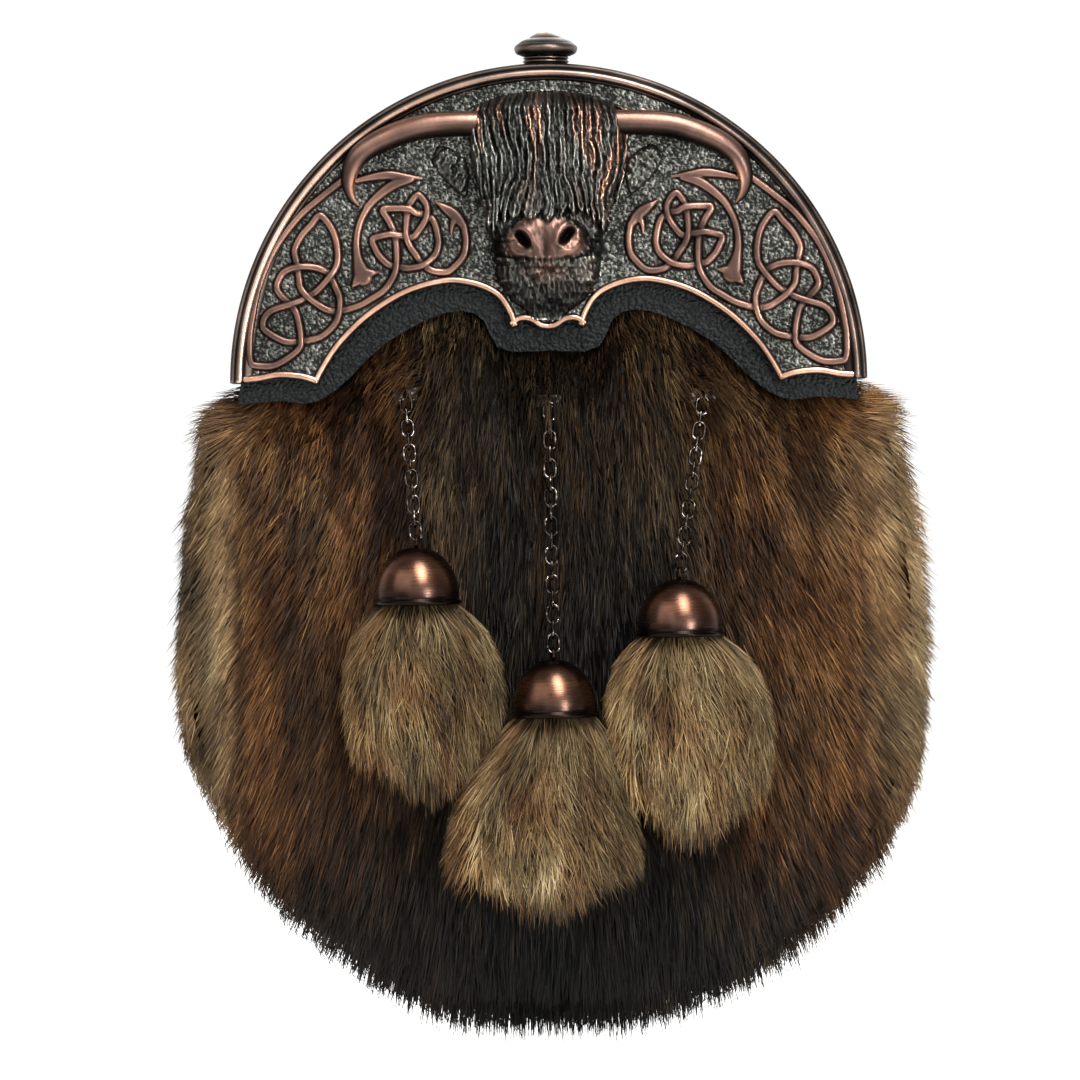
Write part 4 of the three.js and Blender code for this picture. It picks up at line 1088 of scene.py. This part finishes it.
def scattered_roots(count, crowd, rng):
    """Where hairs grow, by the outer skin's x and z: evenly, and more thickly round the outline."""
    x = rng.uniform(-96, 96, 2 * count)
    z = rng.uniform(-164, 30, 2 * count)
    even = fur_fraction(x, z) < 0.99
    x, z = x[even][:count], z[even][:count]
    turn = rng.uniform(-math.pi, math.pi, crowd)
    edge_x, edge_z = around(turn, outline_reach(turn) * (1 - 0.11 * rng.random(crowd)**1.3))
    x, z = np.concatenate([x, edge_x]), np.concatenate([z, edge_z])
    grows = (z < facing_z(x) + 8) | (np.abs(x) > FACING_HALF)
    return x[grows], z[grows]


def shoulder(x, z):
    """1 on the pelt's two shoulders, where the hair is full beside the facing."""
    return smoothstep(68, 79, np.abs(x)) * smoothstep(-14, -4, z)


def over_chain_feet(x, z):
    """1 just above each chain's foot, where longer hair lies over it."""
    cover = np.zeros(len(x))
    for side in TASSELS:
        foot_x, _, foot_z = node_axis("anchor_" + side)
        cover += hill(x, z, (foot_x, foot_z + 7.5), (5.5, 5.5))
    return cover


def front_hairs(count, crowd, rng):
    """Hairs combed down over the dome, each from its root on the hide to its tip near the skin."""
    root_x, root_z = scattered_roots(count, crowd, rng)
    x, z, count = root_x, root_z, len(root_x)
    length = rng.uniform(6, 10.5, count) * (1 + 0.15 * wander(x / 5, z / 8, 46))
    length *= 1 + 0.45 * smoothstep(-125, -150, z)

    # Hairs gather in locks, fan out towards the outline and stand up on the shoulders
    lock_x = LOCK_WIDTH * (np.floor(x / LOCK_WIDTH + 0.9 * wander(x / 11, z / 9, 47)) + 0.5)
    pull = np.clip(lock_x - x, -LOCK_WIDTH, LOCK_WIDTH) * rng.uniform(0.1, 0.7, count)
    flow = comb_direction(x, z) + 0.085 * rng.normal(size=(count, 3)) * [1, 0, 0]
    outward = unit(np.stack([x, 0 * x, z - FUR_MIDDLE_Z], -1))
    lift = (0.12 + 0.15 * (x > 0)) * smoothstep(0.85, 1, fur_fraction(x, z)) + 0.85 * shoulder(x, z)
    flow = unit(flow + outward * lift[:, None])
    stand = rng.uniform(0.5, 1.1, count) + 0.17 * wander(x / 2.2, z / 7, 48) + 0.5 * shoulder(x, z)
    over_foot = over_chain_feet(x, z)
    stand += 2.2 * over_foot
    length *= 1 + 0.7 * np.clip(over_foot, 0, 1)
    chance = rng.random(count)

    # Each hair follows the dome from its root, in strides that shorten where the dome is steep
    rows = [pelt_point(x, z, -0.05)]
    for row in range(1, HAIR_ROWS):
        slope = (fur_y(x + NUDGE * flow[:, 0], z + NUDGE * flow[:, 2]) - fur_y(x, z)) / NUDGE
        stride = length / (HAIR_ROWS - 1) / np.sqrt(1 + np.clip(slope, -1.2, 3)**2)
        x, z = x + flow[:, 0] * stride, z + flow[:, 2] * stride
        share = row / (HAIR_ROWS - 1)
        tip = pelt_point(x, z, stand * share**0.7)
        tip[:, 0] += pull * share
        is_pressed = tip[:, 2] > facing_z(tip[:, 0]) - 0.5
        tip[:, 1] = np.where(is_pressed, np.maximum(tip[:, 1], PRESSED_Y - 0.15), tip[:, 1])
        rows.append(kept_in(tip, chance))
    hide_z = FUR_MIDDLE_Z + (root_z - FUR_MIDDLE_Z) * HIDE_SCALE
    facing = unit(hide_normal(root_x * HIDE_SCALE, hide_z) + 0.8 * FRONT)
    return np.stack(rows, 1), facing, root_x, root_z


def kept_in(tip, chance):
    """Draws hair tips in to the pelt's outline, which is soft at the sides and ragged below."""
    x, y, z = tip.T
    bottom = smoothstep(-105, -140, z)
    most = 0.985 + 0.05 * chance**2 + bottom * (0.08 * chance**2 - 0.022) + 0.01 * shoulder(x, z)
    most += 0.025 * smoothstep(50, 75, x)
    most -= 0.06 * smoothstep(-25, -60, x) * smoothstep(-80, -115, z)
    most -= 0.03 * smoothstep(15, 40, np.abs(x)) * smoothstep(-125, -148, z)
    scale = np.minimum(1, most / np.maximum(fur_fraction(x, z), 1e-3))
    return np.stack([x * scale, y, FUR_MIDDLE_Z + (z - FUR_MIDDLE_Z) * scale], -1)


def rear_hairs(count, rng):
    """Hairs on the pelt's outer wall, in the crease before it, and past the leather at the rear."""
    turn = rng.uniform(-math.pi, math.pi, count)
    on_wall = rng.random(count) < 0.7
    reach = hide_reach(turn)
    depth = np.where(on_wall, rng.uniform(WALL_FRONT_Y, REAR_Y, count), REAR_Y - 0.3)
    in_crease = on_wall & (rng.random(count) < 0.34)
    depth = np.where(in_crease, rng.uniform(WALL_FRONT_Y, -13, count), depth)
    round_edge = 0.2 + 0.055 * np.clip(-11 - depth, 0, 9)**2 - 0.9 * in_crease
    x, z = around(turn, reach - np.where(on_wall, round_edge, 13 * rng.random(count)))
    forward = 0.2 - 0.9 * smoothstep(-12, -18, depth) - 0.8 * in_crease
    wall_out = np.stack([np.sin(turn), forward, np.cos(turn)], -1)
    out = np.where(on_wall[:, None], wall_out, REAR)
    grows = ((z < facing_z(x) - 2) | (np.abs(x) > FACING_HALF + 1)) & (z < 0)
    x, z, depth, out, count = x[grows], z[grows], depth[grows], out[grows], grows.sum()
    flow = comb_direction(x, z) + 0.08 * rng.normal(size=(count, 3))
    length, rise, chance = rng.uniform(6, 11, count), rng.uniform(1, 3, count), rng.random(count)
    root = np.stack([x, depth, z], -1)
    rows = []
    for share in np.linspace(0, 1, HAIR_ROWS):
        point = root + flow * (length * share)[:, None] + out * (rise * share**0.8)[:, None]
        rows.append(kept_in(point, chance))
    towards_front = 1.3 * smoothstep(REAR_Y - 1, -14, depth) * rng.uniform(0.3, 1, count)
    return np.stack(rows, 1), unit(out + towards_front[:, None] * FRONT), x, z


def make_body_fur(material):
    """The pelt: a brown woolly hide, and guard hairs combed down over it."""
    rng = np.random.default_rng(SEED)
    points, facing, x, z = (np.concatenate(both) for both in zip(
        front_hairs(DOME_HAIRS, EDGE_HAIRS, rng), rear_hairs(WALL_HAIRS, rng)))
    count = len(points)
    hair = 0.08 * rng.normal(size=(count, 1))
    share = np.linspace(0, 1, HAIR_ROWS)[None]
    # Painted light: near the outline the darkening at the hair roots is mostly taken out, to lighten the
    # shade between the hairs on the steep edge.
    edge = smoothstep(0.88, 0.97, fur_fraction(x, z))[:, None]
    tone = body_tone(x, z)[:, None] + hair + 0.1 * np.sin(math.pi * share)
    tone -= 0.22 * (1 - share)**1.5 * (1 - 0.85 * edge)
    rust = np.repeat(body_rust(x, z)[:, None], HAIR_ROWS, 1)
    widths = taper(count, HAIR_ROWS, HAIR_WIDTH, rng)
    third = np.digitize(x, [-32, 32])
    for index, side in enumerate(("left", "middle", "right")):
        chosen = third == index
        lay_ribbons("guard_hairs_" + side, points[chosen], facing[chosen], widths[chosen],
                    np.clip(tone[chosen], 0, 1), rust[chosen], material, "body_fur", "fur_front")
    make_hide(material)


# Rings of the hide: shares of its radius over the dome, which close up towards the edge, then
# the wall and the rear by how far in they lie and how deep.
DOME_SHARES = (0.002, 0.08, 0.16, 0.24, 0.32, 0.4, 0.48, 0.56, 0.63, 0.7, 0.76, 0.81, 0.85, 0.885, 0.915,
               0.94, 0.96, 0.975, 0.986, 0.994, 0.999)
REAR_RINGS = ((0.3, -11.3), (1.2, -10.6), (2.5, REAR_Y), (13, REAR_Y), (14, -14))


def make_hide(material):
    """The hide and its underfur, from the dome round the outline to the leather at the rear."""
    steps = 240
    turns = np.linspace(-math.pi, math.pi, steps, endpoint=False)
    reach = hide_reach(turns)
    rings = []
    for share in DOME_SHARES:
        x, z = around(turns, share * reach)
        rings.append(np.stack([x, hide_y(x, z), z], -1))
    for inset, y in REAR_RINGS:
        x, z = around(turns, reach - inset)
        rings.append(np.stack([x, np.full_like(x, y), z], -1))
    x, y, z = np.concatenate(rings).T
    is_under_facing = z > np.minimum(facing_z(x) + 12, 30)
    y = np.where(is_under_facing, np.clip(y, -22, -21), y)
    # Painted light: the hide is lightened towards its outline, where its steep flank lies in shade.
    edge = smoothstep(0.86, 0.94, fur_fraction(x, z))
    faces = grid_faces(len(rings), steps, is_closed_across=True)[:, ::-1]
    piece = make_piece("hide", np.stack([x, y, z], -1), faces, material, "body_fur",
                       tone=np.clip(body_tone(x, z) - 0.12 + 0.3 * edge, 0, 1), rust=body_rust(x, z))
    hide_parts("fur_front")


# Tassels: middle and half size in x and y, lowest hair, how light (0 to 1), how pale a curl, and
# which column of FULLNESS shapes them.
TASSELS = {
    "left": dict(middle=(-31.6, -50.8), half=(20.2, 11), bottom=-104.7, shade=0.46, curl=0, shape=1),
    "centre": dict(middle=(-2.2, -54), half=(25, 12), bottom=-133.7, shade=0.45, curl=0.22, shape=2),
    "right": dict(middle=(33.9, -50.8), half=(21.2, 11), bottom=-116, shade=0.52, curl=0, shape=1),
}

# Fullness of a tassel: columns share of its length, side tassels, middle tassel.
FULLNESS = np.array([
    (-0.06, 0.42, 0.34), (0, 0.55, 0.46), (0.04, 0.68, 0.53), (0.14, 0.85, 0.64), (0.3, 0.97, 0.79),
    (0.5, 1, 0.92), (0.7, 0.95, 0.99), (0.85, 0.84, 0.95), (1, 0.72, 0.85), (1.2, 0.66, 0.78)])
TASSEL_ROWS = 5                         # points along one hair
TASSEL_HAIRS = 9600
TASSEL_HAIR_WIDTH = 0.26


def tassel_place(tassel, cap, share, turn, depth):
    """A point of the tassel: share of the way down, turn about it, and depth from middle to skin."""
    full = np.interp(share, FULLNESS[:, 0], FULLNESS[:, tassel["shape"]]) * depth
    settle = np.clip(share * 2.5, 0, 1)
    x, y = (cap[axis] + (tassel["middle"][axis] - cap[axis]) * settle for axis in (0, 1))
    half_y = np.maximum(tassel["half"][1] * full, 5 * depth)
    z = cap[2] - share * (cap[2] - tassel["bottom"])
    return np.stack([x + tassel["half"][0] * full * np.cos(turn), y + half_y * np.sin(turn), z], -1)


def make_tassel(side, material, rng):
    """A fur tassel: hairs that leave the cap, swell over the ones inside and end in soft tips."""
    cap, tassel, count = node_axis("cap_" + side), TASSELS[side], TASSEL_HAIRS
    length = cap[2] - tassel["bottom"]
    turn = rng.uniform(0, 2 * math.pi, count)
    is_inner = rng.random(count) < 0.16
    depth = np.where(is_inner, rng.uniform(0.1, 0.75, count), rng.uniform(0.7, 0.9, count))
    hang = 1.0 - 0.34 * (depth / 0.85 * np.cos(turn))**2 + 0.05 * wander(turn * 4, turn * 0, 54)
    hang = np.where(is_inner, hang, hang - 0.07 * np.sin(turn)**4)
    start = np.where(is_inner, rng.uniform(0.55, 1, count), rng.uniform(-0.06, 1, count)) * (hang - 0.14)
    hair_length = rng.uniform(6.5, 12, count)
    hair_length = np.minimum(hair_length, (hang + 0.09 * rng.random(count)**1.5 - start) * length)
    swing = 0.2 * wander(turn * 2, start * 3, 51) + 0.09 * wander(turn * 9, start * 6, 55)
    swing += 0.1 * rng.normal(size=count)
    stands = 1.0 + 0.07 * wander(turn * 4, start * 5, 57) + 0.05 * wander(turn * 11, start * 9, 58)
    tip_depth = np.where(is_inner, depth + 0.05, stands)
    rows = []
    for share in np.linspace(0, 1, TASSEL_ROWS):
        skin = depth + (tip_depth - depth) * share**0.8
        down = start + hair_length * share / length
        rows.append(tassel_place(tassel, cap, down, turn + swing * share, skin))
    points = np.stack(rows, 1)

    # Streaks of light and dark run down it, and each hair is darker at its root
    streak = wander(turn * 5 + 3 * (side == "left"), start * 4, 52) * 0.5
    streak += wander(turn * 15, start * 9, 53) * 0.6
    tone = tassel["shade"] + 0.29 * streak + 0.09 * rng.normal(size=count) - 0.14 * smoothstep(0.7, 1, start)
    tone += tassel["curl"] * pale_curl(points[:, -1, 0], points[:, -1, 2])
    share = np.linspace(0, 1, TASSEL_ROWS)[None]
    tone = tone[:, None] + 0.1 * np.sin(math.pi * share) - 0.26 * (1 - share)**1.5
    rust = np.clip(0.3 + 0.6 * wander(turn * 3, start * 3, 56), 0, 1)
    facing = unit(np.stack([np.cos(turn), np.sin(turn) - 0.45, 0 * turn], -1))
    lay_ribbons(f"tassel_{side}_hairs", points, facing, taper(count, TASSEL_ROWS, TASSEL_HAIR_WIDTH, rng),
                np.clip(tone, 0, 1), np.repeat(rust, TASSEL_ROWS), material, "tassel_fur", "tassel_" + side)
    make_tassel_core(side, cap, tassel, material)


def make_tassel_core(side, cap, tassel, material):
    """The dense wool inside a tassel, which closes at the cap and at its lower end."""
    steps, levels = 48, np.linspace(-0.06, 1, 30)
    turns = round_turns(steps)
    ends = 0.84 - 0.3 * np.cos(turns)**2
    depths = 0.76 * (1 - np.maximum(levels, 0)**4)**0.5 + 0.005
    core = np.stack([tassel_place(tassel, cap, level * ends, turns, depth)
                     for level, depth in zip(levels, depths)])
    middle = np.broadcast_to(core[[0, -1]].mean(1, keepdims=True), (2, steps, 3))
    core = np.concatenate([middle[:1], core, middle[1:]])
    faces = grid_faces(len(core), steps, is_closed_across=True)
    plain = np.full(core.shape[:2], 0.3)
    piece = make_piece(f"tassel_{side}_core", core, faces, material, "tassel_fur", tone=plain, rust=plain)
    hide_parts("tassel_" + side)


def pale_curl(x, z):
    """A pale curl of belly fur low on the left of the middle tassel."""
    away = np.hypot((x + 8) / 13, (z + 112) / 17)
    return np.exp(-((away - 1) / 0.16)**2) * smoothstep(-108, -116, z) * smoothstep(6, 0, x)


# ------------------------------------------------------------------ room, light and camera

POUCH_MIDDLE = Vector((0, -0.03, -0.06))


def white_acrylic():
    """Matt white acrylic sheet, lit a little from below so that no shadow greys it."""
    material, tree = new_material("floor_acrylic")
    shader = add_node(tree, "BsdfPrincipled", {
        "Base Color": linear("#f7f7f6"), "Roughness": 0.9,
        "Emission Color": linear("#ffffff"), "Emission Strength": 0.75})
    finish_material(tree, shader)
    return material


def make_floor():
    """A pale floor under the pouch, running back out of sight. Sizes in metres."""
    floor_z, front, rear, half = -0.215, -0.45, 6, 3
    corners = [(x, y, floor_z) for x, y in ((-half, front), (half, front), (half, rear), (-half, rear))]
    mesh = bpy.data.meshes.new("floor")
    mesh.from_pydata(corners, [], [(0, 1, 2, 3)])
    mesh.materials.append(white_acrylic())
    floor = bpy.data.objects.new("floor", mesh)
    bpy.context.scene.collection.objects.link(floor)


def add_softbox(name, place, width, height, watts):
    """A white rectangular softbox aimed at the middle of the pouch, in metres."""
    light = bpy.data.lights.new(name, "AREA")
    light.shape, light.size, light.size_y = "RECTANGLE", width, height
    light.energy = watts
    lamp = bpy.data.objects.new(name, light)
    lamp.location = place
    lamp.rotation_euler = (POUCH_MIDDLE - Vector(place)).to_track_quat("-Z", "Y").to_euler()
    bpy.context.scene.collection.objects.link(lamp)


def light_room():
    """Soft boxes in front, and a studio that is white behind the object and grey before it."""
    add_softbox("key_strip", (0.3, -1.0, 1.1), 0.5, 1.2, 37)
    add_softbox("right_level", (0.72, -1.3, -0.08), 0.16, 0.18, 16)
    add_softbox("left_fill", (-1.1, -1.3, 0.8), 1.6, 1.3, 12)
    add_softbox("low_front", (0, -2.4, 0.1), 2.0, 1.0, 10)
    add_softbox("rear", (0.3, 1.6, 1.2), 1.2, 1.2, 16)
    studio = bpy.data.worlds.new("studio")
    studio.use_nodes = True
    tree = studio.node_tree
    tree.nodes.clear()
    place = add_node(tree, "TexCoord")
    axes = add_node(tree, "SeparateXYZ", links={"Vector": place.outputs["Generated"]})
    fade = add_node(tree, "MapRange", {"From Min": 0.0, "From Max": 0.5, "To Min": 0.22, "To Max": 1.05},
                    {"Value": axes.outputs["Y"]})
    sky = add_node(tree, "Background", {"Color": linear("#ffffff")}, {"Strength": fade.outputs["Result"]})
    add_node(tree, "OutputWorld", links={"Surface": sky.outputs["Background"]})
    bpy.context.scene.world = studio
    bpy.context.scene.view_settings.view_transform = "Standard"


VIEW_WIDTH = 271                        # seen across at the cantle's face
CAMERA_PLACE = (-2.53, -1600, -39.7)
CAMERA_ROLL = 0.5                       # degrees


def make_camera():
    """Square on, from far enough that the sides lie almost parallel."""
    lens = bpy.data.cameras.new("camera")
    lens.lens = lens.sensor_width * (FIELD_Y - CAMERA_PLACE[1]) / VIEW_WIDTH
    lens.clip_end = 20
    camera = bpy.data.objects.new("camera", lens)
    camera.location = world(CAMERA_PLACE)
    camera.rotation_euler = (math.radians(90), math.radians(CAMERA_ROLL), 0)
    bpy.context.scene.collection.objects.link(camera)
    bpy.context.scene.camera = camera


def make_pouch():
    """Every piece of the pouch, from the cantle to the fur."""
    cast = antique_copper()
    make_field(cast)
    make_rim(cast)
    make_lower_bead(cast)
    make_horns(cast)
    make_head(cast)
    make_collar(cast)
    make_button(cast)
    wire, spun = blackened_wire(), spun_copper()
    rng = np.random.default_rng(SEED + 1)
    tassel_hair = guard_hair("tassel_guard_hair", [
        (0.0, "#0a0805"), (0.25, "#211a10"), (0.5, "#50412a"), (0.75, "#806e4e"), (1.0, "#b4a47e")], [
        (0.0, "#0a0604"), (0.25, "#25160b"), (0.5, "#573920"), (0.75, "#866842"), (1.0, "#b59a70")])
    for side in TASSELS:
        make_cap(side, spun)
        make_chain(side, wire)
        anchor = frame["nodes"]["anchor_" + side]
        anchor.data.materials.clear()
        anchor.data.materials.append(wire)
        make_tassel(side, tassel_hair, rng)
    make_leather()
    body_hair = guard_hair("body_guard_hair", [
        (0.0, "#050403"), (0.25, "#15110c"), (0.5, "#372c1e"), (0.75, "#6c5a40"), (1.0, "#ac9872")], [
        (0.0, "#050302"), (0.25, "#180e07"), (0.5, "#3c2412"), (0.75, "#74502d"), (1.0, "#b08654")])
    make_body_fur(body_hair)


make_pouch()
make_floor()
light_room()
make_camera()
